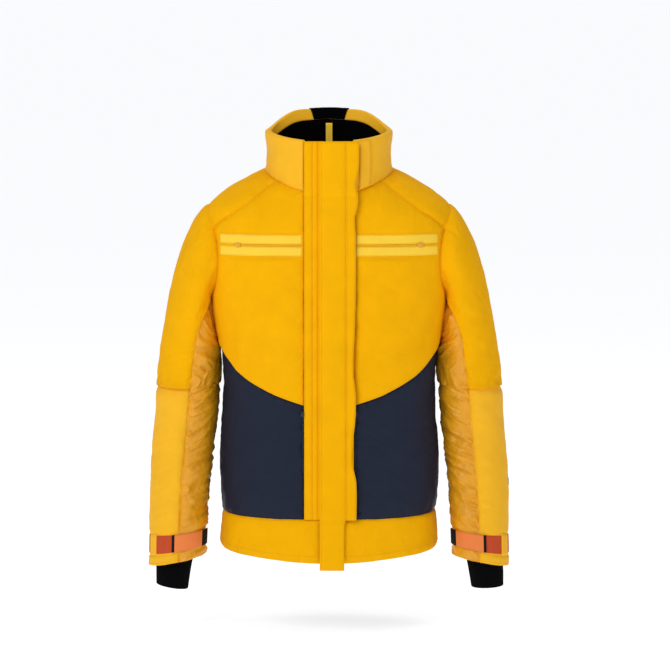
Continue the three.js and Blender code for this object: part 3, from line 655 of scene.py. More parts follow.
def shell(
    name, patches, materials, body, replaces=(), side=1, weights=None,
    puff=2.6, dip=3.0, rise=16.0, lip=3.2, depth=5.6, pucker=0.9, reach=14.0, step=9.0,
    uneven=0.8, cell=45.0, seed=0, limits=(-2.4, 6.0), lift=None, press=None, crease=0.0, slant=0.4,
):
    """Builds one padded panel from patches and keeps their outer grids for stitches.

    lift moves the cloth out by some mm, and press flattens it where something is sewn on top.
    crease is the height of the sharp slanting folds that thin cloth makes away from a seam."""
    base, out, shift, uv, quads, seams, along = [], [], [], [], [], [], []
    blend, raised, free, spans = [], [], [], []
    count, run = 0, 0.0
    for p in patches:
        b, n, m, u, v = p.fine()
        rows, cols = b.shape[:2]
        base.append(b.reshape(-1, 3))
        out.append(n.reshape(-1, 3))
        shift.append(m.reshape(-1, 3))
        uv.append(np.stack([u, v], -1).reshape(-1, 2))
        quads.append(grid_quads(rows, cols, count))
        for edge in p.sewn:
            points = p.border(edge, b)
            seams.append(points)
            along.append(run + lengths(points, 0))
            run += 1000.0
        a, h = coons(p.edges, np.linspace(0, 1, cols), np.linspace(0, 1, rows))
        blend.append(weights(p, a, h).reshape(-1) if weights else np.zeros(rows * cols))
        raised.append((lift(p, a, h) + 0 * a).reshape(-1) if lift else np.zeros(rows * cols))
        free.append((press(p, a, h) + 0 * a).reshape(-1) if press else np.ones(rows * cols))
        spans.append((count, rows, cols))
        count += rows * cols
    base, out, shift, uv, quads, blend, raised, free = (
        np.concatenate(x) for x in (base, out, shift, uv, quads, blend, raised, free)
    )
    _, same = np.unique(np.round(base, 2), axis=0, return_inverse=True)
    same = same.reshape(-1)
    total = np.zeros((same.max() + 1, 3))
    np.add.at(total, same, out)
    out = (total / np.linalg.norm(total, axis=1, keepdims=True))[same]
    met, near_seam = nearest(base, SEAM_POINTS)
    pulled = np.exp(-near_seam / 6)[:, None]
    out = out * (1 - pulled) + SEAM_NORMALS[met] * pulled
    out /= np.linalg.norm(out, axis=1, keepdims=True)
    which, far = nearest(base, np.concatenate(seams))
    along = np.concatenate(along)[which]
    push = (shift * out).sum(1)
    flat = shift - out * push[:, None]
    low, high = limits
    push = np.where(push > 0, high * np.tanh(push / high), low * np.tanh(push / low))
    bumps = noise(base, cell, seed) + 0.5 * noise(base, cell / 2.3, seed + 1)
    where = np.stack([along / step, far / (3.5 * step), 0 * far], -1)
    gathers = noise(where, 1.0, seed + 2) * np.exp(-far / reach) * smooth(far / 3.0)
    swell = puff * (1 - np.exp(-far / rise)) - dip * np.exp(-far / lip)
    folds = 0.0
    if crease:
        where = np.stack([(along + slant * far) / 15, far / 60, 0 * far], -1)
        first_fold = 1 - 2.6 * np.abs(noise(where, 1.0, seed + 3))
        second = 1 - 2.6 * np.abs(noise(where * 2.1 + 7, 1.0, seed + 4))
        folds = crease * (first_fold + 0.45 * second) * smooth(far / 4.0) * (0.35 + 0.65 * np.exp(-far / 45))
    loose = push + swell + uneven * bumps * smooth(far / 12) + pucker * gathers + folds
    rise_now = np.maximum(free * loose + raised, np.minimum(raised, 0) - depth + 1.2)
    top = base + free[:, None] * flat + out * rise_now[:, None]
    under = base + 0.6 * free[:, None] * flat + out * (np.minimum(raised, 0) - depth)[:, None]
    obj, w = close_shell(name, base, top, under, quads, uv, materials, side, blend if weights else None)
    carry(obj, body, w, replaces)
    for p, (at, rows, cols) in zip(patches, spans):
        p.top = (top[at : at + rows * cols] * [side, 1, 1]).reshape(rows, cols, 3)
        p.out = (out[at : at + rows * cols] * [side, 1, 1]).reshape(rows, cols, 3)
        p.weight = blend[at : at + rows * cols].reshape(rows, cols)
        p.base, p.rise = base[at : at + rows * cols], rise_now[at : at + rows * cols]
    return obj


def rise_under(patches, points):
    """How far the finished cloth stands off its drawn surface under each point, averaged a little."""
    base = np.concatenate([p.base for p in patches])
    rise = np.concatenate([p.rise for p in patches])
    tree = point_tree(base)
    made = []
    for point in points.reshape(-1, 3):
        found = tree.find_n(point, 9)
        weight = np.array([1 / (f[2] + 1.0) for f in found])
        made.append((weight * rise[[f[1] for f in found]]).sum() / weight.sum())
    return np.array(made).reshape(points.shape[:-1])


def node_middle(name):
    low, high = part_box(name)
    return (np.array(low) + np.array(high)) / 2 / MM


# %% [markdown]
# ## The body's panels
#
# The seams are the same lines as in the CAD model: a diagonal across the front, the side seam, the
# armhole, and a raglan seam from the armhole up to the collar. The front edge of each panel is
# sewn to the strip beside the zip.

# %% Seam lines
RAGLAN_TURN = 57 * DEG
NECK_FRONT, NECK_BACK = -38 * DEG, 42 * DEG
DIAGONAL = -392.0
CORNER = -505.0
EDGE_X = 46.0


def through(*points):
    """A smooth line through a few points, read from 0 to 1."""
    pts = np.array(points, float)
    n = len(pts)

    def at(t):
        t = np.asarray(t, float) * (n - 1)
        i = np.minimum(t.astype(int), n - 2)
        f = (t - i)[..., None]
        p0, p1, p2, p3 = pts[np.maximum(i - 1, 0)], pts[i], pts[i + 1], pts[np.minimum(i + 2, n - 1)]
        v0, v1 = (p2 - p0) / 2, (p3 - p1) / 2
        made = (2 * p1 - 2 * p2 + v0 + v1) * f**3 + (-3 * p1 + 3 * p2 - 2 * v0 - v1) * f**2 + v0 * f + p1
        return made[..., 0], made[..., 1]

    return at


def raglan(sign, neck_angle):
    a, h = armhole(sign * RAGLAN_TURN)
    return through((a, h), (a + 0.6 * (neck_angle - a), h + 0.44 * (NECK - h)), (neck_angle, NECK))


raglan_front, raglan_back = raglan(-1, NECK_FRONT), raglan(1, NECK_BACK)


def outer_edge(sign, side_share=0.25, arm_share=0.4):
    up = raglan_front if sign < 0 else raglan_back

    def at(t):
        t = np.asarray(t, float)
        arm = np.clip((t - side_share) / arm_share, 0, 1)
        a, h = armhole(sign * (math.pi - arm * (math.pi - RAGLAN_TURN)))
        ra, rh = up(np.clip((t - side_share - arm_share) / (1 - side_share - arm_share), 0, 1))
        low = DIAGONAL + np.clip(t / side_share, 0, 1) * (ARM_LOW - DIAGONAL)
        first, last = t <= side_share, t > side_share + arm_share
        return np.where(first, 0.0, np.where(last, ra, a)), np.where(first, low, np.where(last, rh, h))

    return at


def front_edge(low, high, x):
    def at(t):
        h = low + np.asarray(t, float) * (high - low)
        return angle_at(x, h), h

    return at


def mirrored(edge):
    def at(t):
        a, h = edge(t)
        return math.pi - a, h

    return at


def spot(x, height):
    return float(angle_at(x, height)), float(height)


diagonal_front = through(
    spot(EDGE_X, CORNER), (-50 * DEG, CORNER + 20.5), (-30 * DEG, CORNER + 53), (-16 * DEG, CORNER + 90),
    (0, DIAGONAL),
)


def diagonal_back(s):
    s = np.asarray(s, float)
    return s * math.pi, DIAGONAL - 78 * np.abs(np.sin(s * math.pi)) ** 1.5


ARM_RADIUS = 74.0  # of the armhole, on average
ELBOW_Z = -481.0


def from_top(turn):
    """How far a turn is from the top of the sleeve, whichever way round."""
    return np.abs(np.arctan2(np.sin(turn), np.cos(turn)))


def round_armhole(angle, height):
    """Where a point of the body lies round the armhole, and how far outside it in mm."""
    q0, q1 = angle / REACH, (height - (ARM_TOP + ARM_LOW) / 2) / ((ARM_TOP - ARM_LOW) / 2)
    return np.arctan2(q0, q1), (np.hypot(q0, q1) - 1) * ARM_RADIUS


def pulled_along(turn):
    """How far the cloth at the armhole goes with a lifted sleeve: not at the top, partly below."""
    return 0.42 * smooth((from_top(turn) - 50 * DEG) / (130 * DEG))


def body_weight(patch, angle, height):
    turn, away = round_armhole(angle, height)
    return pulled_along(turn) * smooth(1 - away / 85)


def sleeve_weight(patch, turn, at):
    held = pulled_along(turn)
    reach = 1.4 + 4.8 * smooth(from_top(turn) / math.pi)
    return held + (1 - held) * smooth(at / reach)


def raglan_weight(patch, a, b):
    return 0 * a if patch.surface is body else sleeve_weight(patch, a, b)


def elbow_weight(patch, turn, at):
    """A share that rises below the elbow: over a short reach in front and a long one behind."""
    low_z = sleeve_face(turn, at)[..., 2]
    reach = 45 + 190 * smooth((np.sin(turn) + 1) / 2)
    return smooth((ELBOW_Z - low_z) / reach)


raglan_seam = body_face(*raglan_front(np.linspace(0, 1, 50)))
print("raglan seam", round(float(lengths(raglan_seam, 0)[-1])), "mm long")

# %% [markdown]
# ## Cutting the panels
#
# Both sides are cut from the same lines, and the right side is the left one mirrored. They are
# still simulated apart, so their folds differ as they do on a real garment.

# %% Cut and relax the panels
SIDES = (("left", 1), ("right", -1))
UNDER = curve_through([0, 1, 2, 3, 4, 5, 12], [22, 26, 38, 56, 72, 82, 86])


def half_under(at):
    return UNDER(np.asarray(at, float)) * DEG


def turned(edge_turn):
    """A sleeve edge that runs from the low end to the high one, at a turn that depends on the height."""
    def edge(low, high):
        return lambda t: (edge_turn(low + t * (high - low)), low + np.asarray(t, float) * (high - low))

    return edge


def sleeve_block(first, last, low, high, sewn, cols=None, rows=None, spacing=8.0, held=None):
    """A patch of the sleeve between two lines of turn, from its low end up to its high end."""
    def across(at):
        def edge(s):
            s = np.asarray(s, float)
            return first(at) + s * (last(at) - first(at)), at + 0.0 * s

        return edge

    edges = dict(
        bottom=across(low), top=across(high), left=turned(first)(low, high), right=turned(last)(low, high)
    )
    return Patch(sleeve, edges, sewn, spacing, cols, rows, held)


def still(value):
    return lambda at: value + 0.0 * np.asarray(at, float)


ELBOW, CUFF = 7.0, 11.0
cut = {}
for side_name, side in SIDES:
    neck_start = spot(EDGE_X, NECK)
    cut[side_name] = {
        "front": Patch(body, dict(
            bottom=diagonal_front, top=line(neck_start, (NECK_FRONT, NECK)),
            left=front_edge(CORNER, NECK, EDGE_X), right=outer_edge(-1),
        ), sewn="left right top", held="left right top bottom"),
        "lower": Patch(body, dict(
            bottom=line(spot(EDGE_X, HEM_SEAM), (0, HEM_SEAM)), top=diagonal_front,
            left=front_edge(HEM_SEAM, CORNER, EDGE_X), right=line((0, HEM_SEAM), (0, DIAGONAL)),
        )),
        "hem": Patch(body, dict(
            bottom=line(spot(10.6, HEM), (0, HEM)), top=line(spot(10.6, HEM_SEAM), (0, HEM_SEAM)),
            left=front_edge(HEM, HEM_SEAM, 10.6), right=line((0, HEM), (0, HEM_SEAM)),
        ), sewn="left right top bottom"),
        "yoke": Patch(body, dict(
            bottom=lambda s: armhole((2 * np.asarray(s, float) - 1) * RAGLAN_TURN),
            top=line((NECK_FRONT, NECK), (NECK_BACK, NECK)), left=raglan_front, right=raglan_back,
        ), sewn="left right top", cols=22),
        "arm": sleeve_block(
            still(-RAGLAN_TURN), still(RAGLAN_TURN), ELBOW, 0, "", cols=22, rows=40, held="bottom"
        ),
        "arm_front": sleeve_block(
            lambda at: half_under(at) - math.pi, still(-RAGLAN_TURN), ELBOW, 0, "left top", rows=40,
            held="left bottom top",
        ),
        "arm_back": sleeve_block(
            still(RAGLAN_TURN), lambda at: math.pi - half_under(at), ELBOW, 0, "right top", rows=40,
            held="right bottom top",
        ),
        "under": sleeve_block(
            lambda at: math.pi - half_under(at), lambda at: math.pi + half_under(at), ELBOW, 0,
            "left right bottom top", spacing=5.5,
        ),
        "forearm": sleeve_block(
            lambda at: half_under(at) - math.pi, lambda at: math.pi - half_under(at), CUFF, 6.85,
            "left right", spacing=7.0, held="left right bottom top",
        ),
        "forearm_under": sleeve_block(
            lambda at: math.pi - half_under(at), lambda at: math.pi + half_under(at), CUFF, 6.9,
            "left right", spacing=5.5, held="left right bottom top",
        ),
        "back": Patch(body, dict(
            bottom=lambda s: diagonal_back(0.5 * np.asarray(s, float)),
            top=line((NECK_BACK, NECK), (math.pi / 2, NECK)),
            left=outer_edge(1),
            right=line((math.pi / 2, float(diagonal_back(0.5)[1])), (math.pi / 2, NECK)),
        ), sewn="left bottom top", rows=42),
    }
cut["back"] = {
    "lower": Patch(body, dict(
        bottom=line((0, HEM_SEAM), (math.pi, HEM_SEAM)), top=diagonal_back,
        left=line((0, HEM_SEAM), (0, DIAGONAL)), right=line((math.pi, HEM_SEAM), (math.pi, DIAGONAL)),
    )),
    "hem": Patch(body, dict(
        bottom=line((0, HEM), (math.pi, HEM)), top=line((0, HEM_SEAM), (math.pi, HEM_SEAM)),
        left=line((0, HEM), (0, HEM_SEAM)), right=line((math.pi, HEM), (math.pi, HEM_SEAM)),
    )),
}
SLACK = dict(
    front=0.02, lower=0.035, hem=0.02, yoke=0.015, arm=0.025, arm_front=0.03, arm_back=0.03, under=0.10,
    forearm=0.06, forearm_under=0.11, back=0.025,
)
for part in cut:
    relax([(patch, SLACK[key]) for key, patch in cut[part].items()])
print(sum(p.ns * p.nt for group in cut.values() for p in group.values()), "coarse cells")

# %% [markdown]
# ## Sewing the panels
#
# The yoke and the upper sleeve are one panel here, because the real piece is cut in one with no
# shoulder seam. It spans the body and the sleeve. Weights are worked out for how far it, and the front
# and back panels round the armhole, would go with a lifted sleeve, but nothing applies them.

# %% Sew the panels
BAND_LOW, BAND_HIGH, BAND_IN, BAND_OUT = -232.0, -193.0, 49.0, 199.0  # both chest ribbons together


def inside(value, low, high, soft):
    """1 between low and high, falling softly to 0 outside."""
    return smooth((value - low) / soft + 1) * smooth((high - value) / soft + 1)


def under_chest_bands(patch, angle, height):
    x, _, z = np.moveaxis(body_face(angle, height), -1, 0)
    return 1 - 0.85 * inside(x, BAND_IN, BAND_OUT, 9) * inside(z, BAND_LOW, BAND_HIGH, 9)


def under_cuff_parts(patch, turn, at):
    pocket = inside(turn, 6 * DEG, 18 * DEG, 10 * DEG) * inside(at, 8.35, 9.55, 0.2)
    strap = inside(at, 10.47, 10.82, 0.06)
    return 1 - np.maximum(pocket, 0.75 * strap)


def armpit(turn):
    return smooth((from_top(turn) - 75 * DEG) / (40 * DEG))


def side_fill(patch, a, b):
    """More padding beside the armpit, and no dip in the lower half of the armhole's seam."""
    if patch.surface is body:
        turn, away = round_armhole(a, b)
        seam = 3.4 * np.exp(-np.maximum(away, 0) / 6) * armpit(turn)
        return seam + 4.0 * inside(a, -14 * DEG, 14 * DEG, 14 * DEG) * inside(b, -430, -322, 40)
    seam = 3.4 * np.exp(-b / 0.12) * armpit(a)
    return seam + 4.0 * smooth(b / 1.5) * inside(b, 0, 4.5, 2.0) * inside(a, 160 * DEG, 200 * DEG, 20 * DEG)


def raglan_lift(patch, a, b):
    """The sleeve's hem stands off the forearm a little. The yoke and the armpit keep their seams shut."""
    if patch.surface is body:
        return 0 * a
    return side_fill(patch, a, b) + 1.6 * smooth((b - 6.7) / 0.3)


def seam_directions(patches):
    """At a seam, all the panels that meet there are pulled in along one shared direction."""
    points, normals = [], []
    for p in patches:
        grid, out = p.fine()[:2]
        for edge in p.sewn:
            points.append(p.border(edge, grid).reshape(-1, 3))
            normals.append(p.border(edge, out).reshape(-1, 3))
    points, normals = np.concatenate(points), np.concatenate(normals)
    tree = point_tree(points)
    mean = np.array([normals[[f[1] for f in tree.find_range(p, 3.0)]].mean(0) for p in points])
    return points, mean / np.linalg.norm(mean, axis=1, keepdims=True)


SEAM_POINTS, SEAM_NORMALS = seam_directions(list(cut["left"].values()) + list(cut["back"].values()))
print(len(SEAM_POINTS), "points on seams")

for side_name, side in SIDES:
    c = cut[side_name]
    shoulder = ("torso", f"{side_name}_sleeve")
    elbow = (f"{side_name}_sleeve", f"{side_name}_forearm")
    shift = 10 * (side < 0)
    shell(
        f"{side_name}_front_panel_cloth", [c["front"]], [MATTE, LINING], shoulder,
        [f"{side_name}_front_panel"], side, body_weight, seed=shift, pucker=1.3, uneven=1.3,
        crease=0.5, press=under_chest_bands, lift=side_fill,
    )
    shell(
        f"{side_name}_lower_panel_cloth", [c["lower"]], [NAVY, LINING], "torso",
        [f"{side_name}_lower_panel"], side, None, puff=2.2, seed=shift + 1, pucker=1.9, uneven=1.6,
        crease=0.7,
    )
    shell(
        f"{side_name}_hem_band_cloth", [c["hem"]], [MATTE, LINING], "torso",
        [f"{side_name}_hem_band"], side, None, puff=2.0, seed=shift + 2, crease=0.5,
    )
    shell(
        f"{side_name}_raglan_sleeve", [c["yoke"], c["arm"], c["arm_front"], c["arm_back"]], [MATTE, LINING],
        shoulder, [f"{side_name}_shoulder_yoke", f"{side_name}_upper_sleeve"], side,
        raglan_weight, seed=shift + 3, lift=raglan_lift, pucker=1.3, uneven=1.3, crease=0.6,
    )
    shell(
        f"{side_name}_upper_under_cloth", [c["under"]], [GOLD, LINING], shoulder,
        [f"{side_name}_upper_under_sleeve"], side, sleeve_weight, puff=2.0, seed=shift + 4,
        uneven=1.3, cell=24.0, pucker=1.5, reach=26.0, step=9.0, lift=side_fill, crease=3.3, slant=0.5,
    )
    shell(
        f"{side_name}_forearm_cloth", [c["forearm"]], [LIGHT, LINING], elbow,
        [f"{side_name}_lower_sleeve"], side, elbow_weight, seed=shift + 5, uneven=1.3, cell=34.0,
        pucker=1.4, crease=0.5, press=under_cuff_parts,
        lift=lambda p, a, b: -4.5 * smooth((7.25 - b) / 0.3),
    )
    shell(
        f"{side_name}_forearm_under_cloth", [c["forearm_under"]], [GOLD, LINING], elbow,
        [f"{side_name}_lower_under_sleeve"], side, elbow_weight, puff=2.0, seed=shift + 6,
        uneven=1.5, cell=24.0, pucker=1.7, reach=28.0, step=9.0, press=under_cuff_parts, crease=3.3,
        slant=-0.5, lift=lambda p, a, b: -3.0 * smooth((7.2 - b) / 0.25),
    )
    shell(
        f"{side_name}_back_cloth", [c["back"]], [MATTE, LINING], shoulder,
        ["back_panel"], side, body_weight, seed=20, lift=side_fill,
    )
shell(
    "back_lower_cloth", [cut["back"]["lower"]], [NAVY, LINING], "torso", ["back_lower_panel"],
    puff=2.2, seed=31, pucker=1.3,
)
shell(
    "back_hem_cloth", [cut["back"]["hem"]], [MATTE, LINING], "torso",
    ["back_hem_band"], puff=2.0, seed=32,
)
cloths = [o for o in scene.objects if o.type == "MESH" and "cloth" in o.name]
print(sum(len(o.data.polygons) for o in cloths), "faces of cloth")

# %% [markdown]
# ## Tools for the small parts
#
# Three tools make everything that isn't a panel. A slab is a thin closed piece between two heights
# over any grid of points. A sweep is a closed section carried along a line. A plate is an outline
# with a thickness and softened edges, for zip sliders and pulls.

# %% Slabs, sweeps and plates
def grid_lengths(base):
    return np.stack([lengths(base, 1), lengths(base, 0)], -1).reshape(-1, 2)


def slab(name, base, top, under, materials, side=1, kinds=None):
    """A closed piece from three equal grids: where it lies, its outer face and its inner face."""
    rows, cols = base.shape[:2]
    quads = grid_quads(rows, cols)
    flat = (g.reshape(-1, 3) for g in (base, top, under))
    obj, _ = close_shell(name, *flat, quads, grid_lengths(base), materials, side)
    if kinds is not None:
        each = np.broadcast_to(kinds, (rows - 1, cols - 1)).reshape(-1)
        polygons = obj.data.polygons
        index = np.zeros(len(polygons), np.int32)
        polygons.foreach_get("material_index", index)
        index[: len(each)] = each
        index[len(each) : 2 * len(each)] = each
        polygons.foreach_set("material_index", index)
    return obj


def on_surface(name, patch, low, high, materials, side=1, edge=0.8, kinds=None):
    """A slab on a patch, from a low to a high offset, with its edges rounded off."""
    base = patch.points(FINE)
    out = patch.points(FINE, 1.0) - base
    u, v = lengths(base, 1), lengths(base, 0)
    near = np.minimum(np.minimum(u, u[:, -1:] - u), np.minimum(v, v[-1:] - v))
    round_off = edge * (1 - np.sqrt(np.clip(near / max(edge * 1.6, 0.01), 0, 1)))
    top = base + out * (high - round_off)[..., None]
    under = base + out * np.broadcast_to(low, u.shape)[..., None]
    obj = slab(name, base, top, under, materials, side, kinds)
    patch.top, patch.out, patch.weight = top * [side, 1, 1], out * [side, 1, 1], 0 * u
    return obj


def sweep(name, rings, materials, side=1, kinds=None, crisp=True, closed=False):
    """A closed section carried along: rings is stations by section points, in mm."""
    stations, m = rings.shape[:2]
    i = np.arange(stations * m).reshape(stations, m)
    nxt = np.roll(i, -1, 1)
    last = stations if closed else stations - 1
    faces, uv = [], []
    strides = np.linalg.norm(np.diff(rings[0], axis=0, append=rings[0][:1]), axis=1)
    around = np.concatenate([[0], np.cumsum(strides)])
    here, ahead = around[:-1], around[1:]
    along = lengths(rings, 0).mean(1)
    for k in range(last):
        j = (k + 1) % stations
        faces.append(np.stack([i[k], nxt[k], nxt[j], i[j]], -1))
        v0, v1 = along[k], along[j] if j else along[k] + 1
        row = np.zeros((m, 4, 2))
        for corner, (u, v) in enumerate(((here, v0), (ahead, v0), (ahead, v1), (here, v1))):
            row[:, corner] = np.stack([u, 0 * u + v], -1)
        uv.append(row)
    mesh = bpy.data.meshes.new(name)
    quads = np.concatenate(faces)
    ends = [] if closed else [i[0][::-1].tolist(), i[-1].tolist()]
    mesh.from_pydata((rings.reshape(-1, 3) * [side, 1, 1] * MM).tolist(), [], quads.tolist() + ends)
    for mat in materials:
        mesh.materials.append(mat)
    if kinds is not None:
        index = np.tile(np.asarray(kinds, np.int32), last)
        index = np.concatenate([index, np.zeros(len(ends), np.int32)]).astype(np.int32)
        mesh.polygons.foreach_set("material_index", index)
    layer = mesh.uv_layers.new(name="cloth")
    flat = np.concatenate([np.concatenate(uv).reshape(-1, 2), np.zeros((len(ends) * m, 2))]) * MM
    layer.data.foreach_set("uv", flat.astype(np.float32).ravel())
    face_out(mesh)
    mesh.shade_smooth()
    if crisp:
        mesh.set_sharp_from_angle(angle=35 * DEG)
    return placed(name, mesh)


def face_out(mesh):
    """Turns a closed mesh's faces outwards if its volume comes out negative."""
    work = bmesh.new()
    work.from_mesh(mesh)
    bmesh.ops.recalc_face_normals(work, faces=work.faces)
    if work.calc_volume(signed=True) < 0:
        bmesh.ops.reverse_faces(work, faces=work.faces)
    work.to_mesh(mesh)
    work.free()


def plates(name, shapes, place, material, bevel=0.35):
    """Plates in one mesh. A shape is (outline, low, high); place is origin, x, y and z directions in mm."""
    work = bmesh.new()
    origin, *axes = (np.asarray(v, float) for v in place)
    for outline, low, high in shapes:
        part = bmesh.new()
        ring = [part.verts.new((x, y, low)) for x, y in outline]
        face = part.faces.new(ring)
        made = bmesh.ops.extrude_face_region(part, geom=[face])
        lifted = [v for v in made["geom"] if isinstance(v, bmesh.types.BMVert)]
        bmesh.ops.translate(part, vec=(0, 0, high - low), verts=lifted)
        size = min(bevel, (high - low) * 0.35)
        bmesh.ops.bevel(part, geom=part.edges[:], offset=size, segments=2, profile=0.6, affect="EDGES")
        bmesh.ops.recalc_face_normals(part, faces=part.faces)
        temp = bpy.data.meshes.new("plate")
        part.to_mesh(temp)
        part.free()
        work.from_mesh(temp)
        bpy.data.meshes.remove(temp)
    for v in work.verts:
        point = origin + sum(c * a for c, a in zip(v.co, axes))
        v.co = point * MM
    mesh = bpy.data.meshes.new(name)
    bmesh.ops.recalc_face_normals(work, faces=work.faces)
    work.to_mesh(mesh)
    work.free()
    mesh.materials.append(material)
    mesh.uv_layers.new(name="cloth")
    mesh.shade_smooth()
    mesh.set_sharp_from_angle(angle=35 * DEG)
    return placed(name, mesh)


def rectangle(x0, x1, y0, y1, corner=0.0, steps=4):
    if not corner:
        return [(x0, y0), (x1, y0), (x1, y1), (x0, y1)]
    points = []
    left, right, low, high = x0 + corner, x1 - corner, y0 + corner, y1 - corner
    for cx, cy, turn in ((right, low, -90), (right, high, 0), (left, high, 90), (left, low, 180)):
        for k in range(steps + 1):
            a = (turn + 90 * k / steps) * DEG
            points.append((cx + corner * math.cos(a), cy + corner * math.sin(a)))
    return points


# %% [markdown]
# ## Stitches and zip teeth
#
# What repeats along a line is made by a node tree: the line is resampled at a pitch, a small shape
# is set on each point, turned along the line and away from the cloth, and the copies are made real.
# Each tree is baked to a plain mesh, so that it can ride on its body like any other piece.

# %% A node tree that repeats a shape along a line
def repeat_tree(name, kind):
    """kind is the node that makes the shape: a small sphere for a stitch or a cube for a tooth."""
    tree = bpy.data.node_groups.new(name, "GeometryNodeTree")
    face = tree.interface
    face.new_socket(name="Path", in_out="INPUT", socket_type="NodeSocketGeometry")
    sizes = dict(Pitch=0.003, Length=0.0024, Width=0.0007, Height=0.0005, Uneven=0.08)
    for label, value in sizes.items():
        face.new_socket(name=label, in_out="INPUT", socket_type="NodeSocketFloat").default_value = value
    face.new_socket(name="Seed", in_out="INPUT", socket_type="NodeSocketInt").default_value = 3
    face.new_socket(name="Material", in_out="INPUT", socket_type="NodeSocketMaterial")
    face.new_socket(name="Copies", in_out="OUTPUT", socket_type="NodeSocketGeometry")
    given = node(tree, "NodeGroupInput").outputs
    curve = node(tree, "GeometryNodeMeshToCurve", {"Mesh": given["Path"]}).outputs[0]
    spaced = node(tree, "GeometryNodeResampleCurve", mode="LENGTH")
    tree.links.new(curve, spaced.inputs["Curve"])
    tree.links.new(given["Pitch"], spaced.inputs["Length"])
    named = node(tree, "GeometryNodeInputNamedAttribute", {"Name": "away"}, data_type="FLOAT_VECTOR")
    away = named.outputs[0]
    upright = node(tree, "FunctionNodeAlignRotationToVector", {"Vector": away}, axis="Z")
    tangent = node(tree, "GeometryNodeInputTangent").outputs[0]
    turned_to = node(
        tree, "FunctionNodeAlignRotationToVector", {"Rotation": upright.outputs[0], "Vector": tangent},
        axis="X", pivot_axis="Z",
    )
    shape = node(tree, kind)
    if kind == "GeometryNodeMeshUVSphere":
        shape.inputs["Segments"].default_value = 6
        shape.inputs["Rings"].default_value = 4
        shape.inputs["Radius"].default_value = 0.5
    size = node(
        tree, "ShaderNodeCombineXYZ", {"X": given["Length"], "Y": given["Width"], "Z": given["Height"]}
    )
    sized = node(
        tree, "GeometryNodeTransform", {"Geometry": shape.outputs["Mesh"], "Scale": size.outputs[0]}
    )
    less = node(tree, "ShaderNodeMath", {0: 1.0, 1: given["Uneven"]}, operation="SUBTRACT").outputs[0]
    more = node(tree, "ShaderNodeMath", {0: 1.0, 1: given["Uneven"]}, operation="ADD").outputs[0]
    vary = node(tree, "FunctionNodeRandomValue", data_type="FLOAT")
    tree.links.new(less, vary.inputs[2])
    tree.links.new(more, vary.inputs[3])
    tree.links.new(given["Seed"], vary.inputs["Seed"])
    copies = node(
        tree, "GeometryNodeInstanceOnPoints",
        {"Points": spaced.outputs[0], "Instance": sized.outputs[0], "Rotation": turned_to.outputs[0],
         "Scale": vary.outputs[1]},
    )
    real = node(tree, "GeometryNodeRealizeInstances", {"Geometry": copies.outputs[0]})
    coloured = node(
        tree, "GeometryNodeSetMaterial", {"Geometry": real.outputs[0], "Material": given["Material"]}
    )
    node(tree, "NodeGroupOutput", {"Copies": coloured.outputs[0]})
    return tree


STITCH_TREE = repeat_tree("stitches_along_a_line", "GeometryNodeMeshUVSphere")
TOOTH_TREE = repeat_tree("teeth_along_a_line", "GeometryNodeMeshCube")


def repeated(name, tree, lines, material, **sizes):
    """Bakes a tree's copies along lines, each (points, outward directions), to one plain mesh."""
    mesh = bpy.data.meshes.new("path")
    points = np.concatenate([p for p, _ in lines])
    away = np.concatenate([a for _, a in lines])
    edges, at = [], 0
    for p, _ in lines:
        edges += [(at + i, at + i + 1) for i in range(len(p) - 1)]
        at += len(p)
    mesh.from_pydata((points * MM).tolist(), edges, [])
    outward = mesh.attributes.new("away", "FLOAT_VECTOR", "POINT")
    outward.data.foreach_set("vector", away.astype(np.float32).ravel())
    path = placed("path", mesh)
    modifier = path.modifiers.new("copies", "NODES")
    modifier.node_group = tree
    for socket in tree.interface.items_tree:
        if socket.in_out != "INPUT" or socket.name == "Path":
            continue
        if socket.name == "Material":
            modifier[socket.identifier] = material
        elif socket.name in sizes:
            value = sizes[socket.name]
            modifier[socket.identifier] = value if socket.name in ("Seed", "Uneven") else value * MM
    graph = bpy.context.evaluated_depsgraph_get()
    baked = bpy.data.meshes.new_from_object(path.evaluated_get(graph), depsgraph=graph)
    bpy.data.objects.remove(path)
    bpy.data.meshes.remove(mesh)
    baked.name = name
    baked.shade_smooth()
    if not baked.materials:
        baked.materials.append(material)
    return placed(name, baked)


def inset_line(patch, edge, inset, start=0.0, end=1.0, lift=0.15):
    """A line on a finished patch that runs along one edge at an inset in mm: points, outward, weights."""
    top, out, weight = patch.top, patch.out, patch.weight
    if edge in ("bottom", "top"):
        top, out, weight = top.swapaxes(0, 1), out.swapaxes(0, 1), weight.T
    if edge in ("right", "top"):
        top, out, weight = top[:, ::-1], out[:, ::-1], weight[:, ::-1]
    n = len(top)
    rows = np.arange(round(start * (n - 1)), round(end * (n - 1)) + 1)
    along = lengths(top[rows], 1)
    j = np.clip((along < inset).sum(1), 1, top.shape[1] - 1)
    k = np.arange(len(rows))
    f = ((inset - along[k, j - 1]) / (along[k, j] - along[k, j - 1] + 1e-9))[:, None]
    points = top[rows, j - 1] * (1 - f) + top[rows, j] * f
    away = out[rows, j - 1] * (1 - f) + out[rows, j] * f
    weights = weight[rows, j - 1] * (1 - f[:, 0]) + weight[rows, j] * f[:, 0]
    return points + away * lift, away, weights


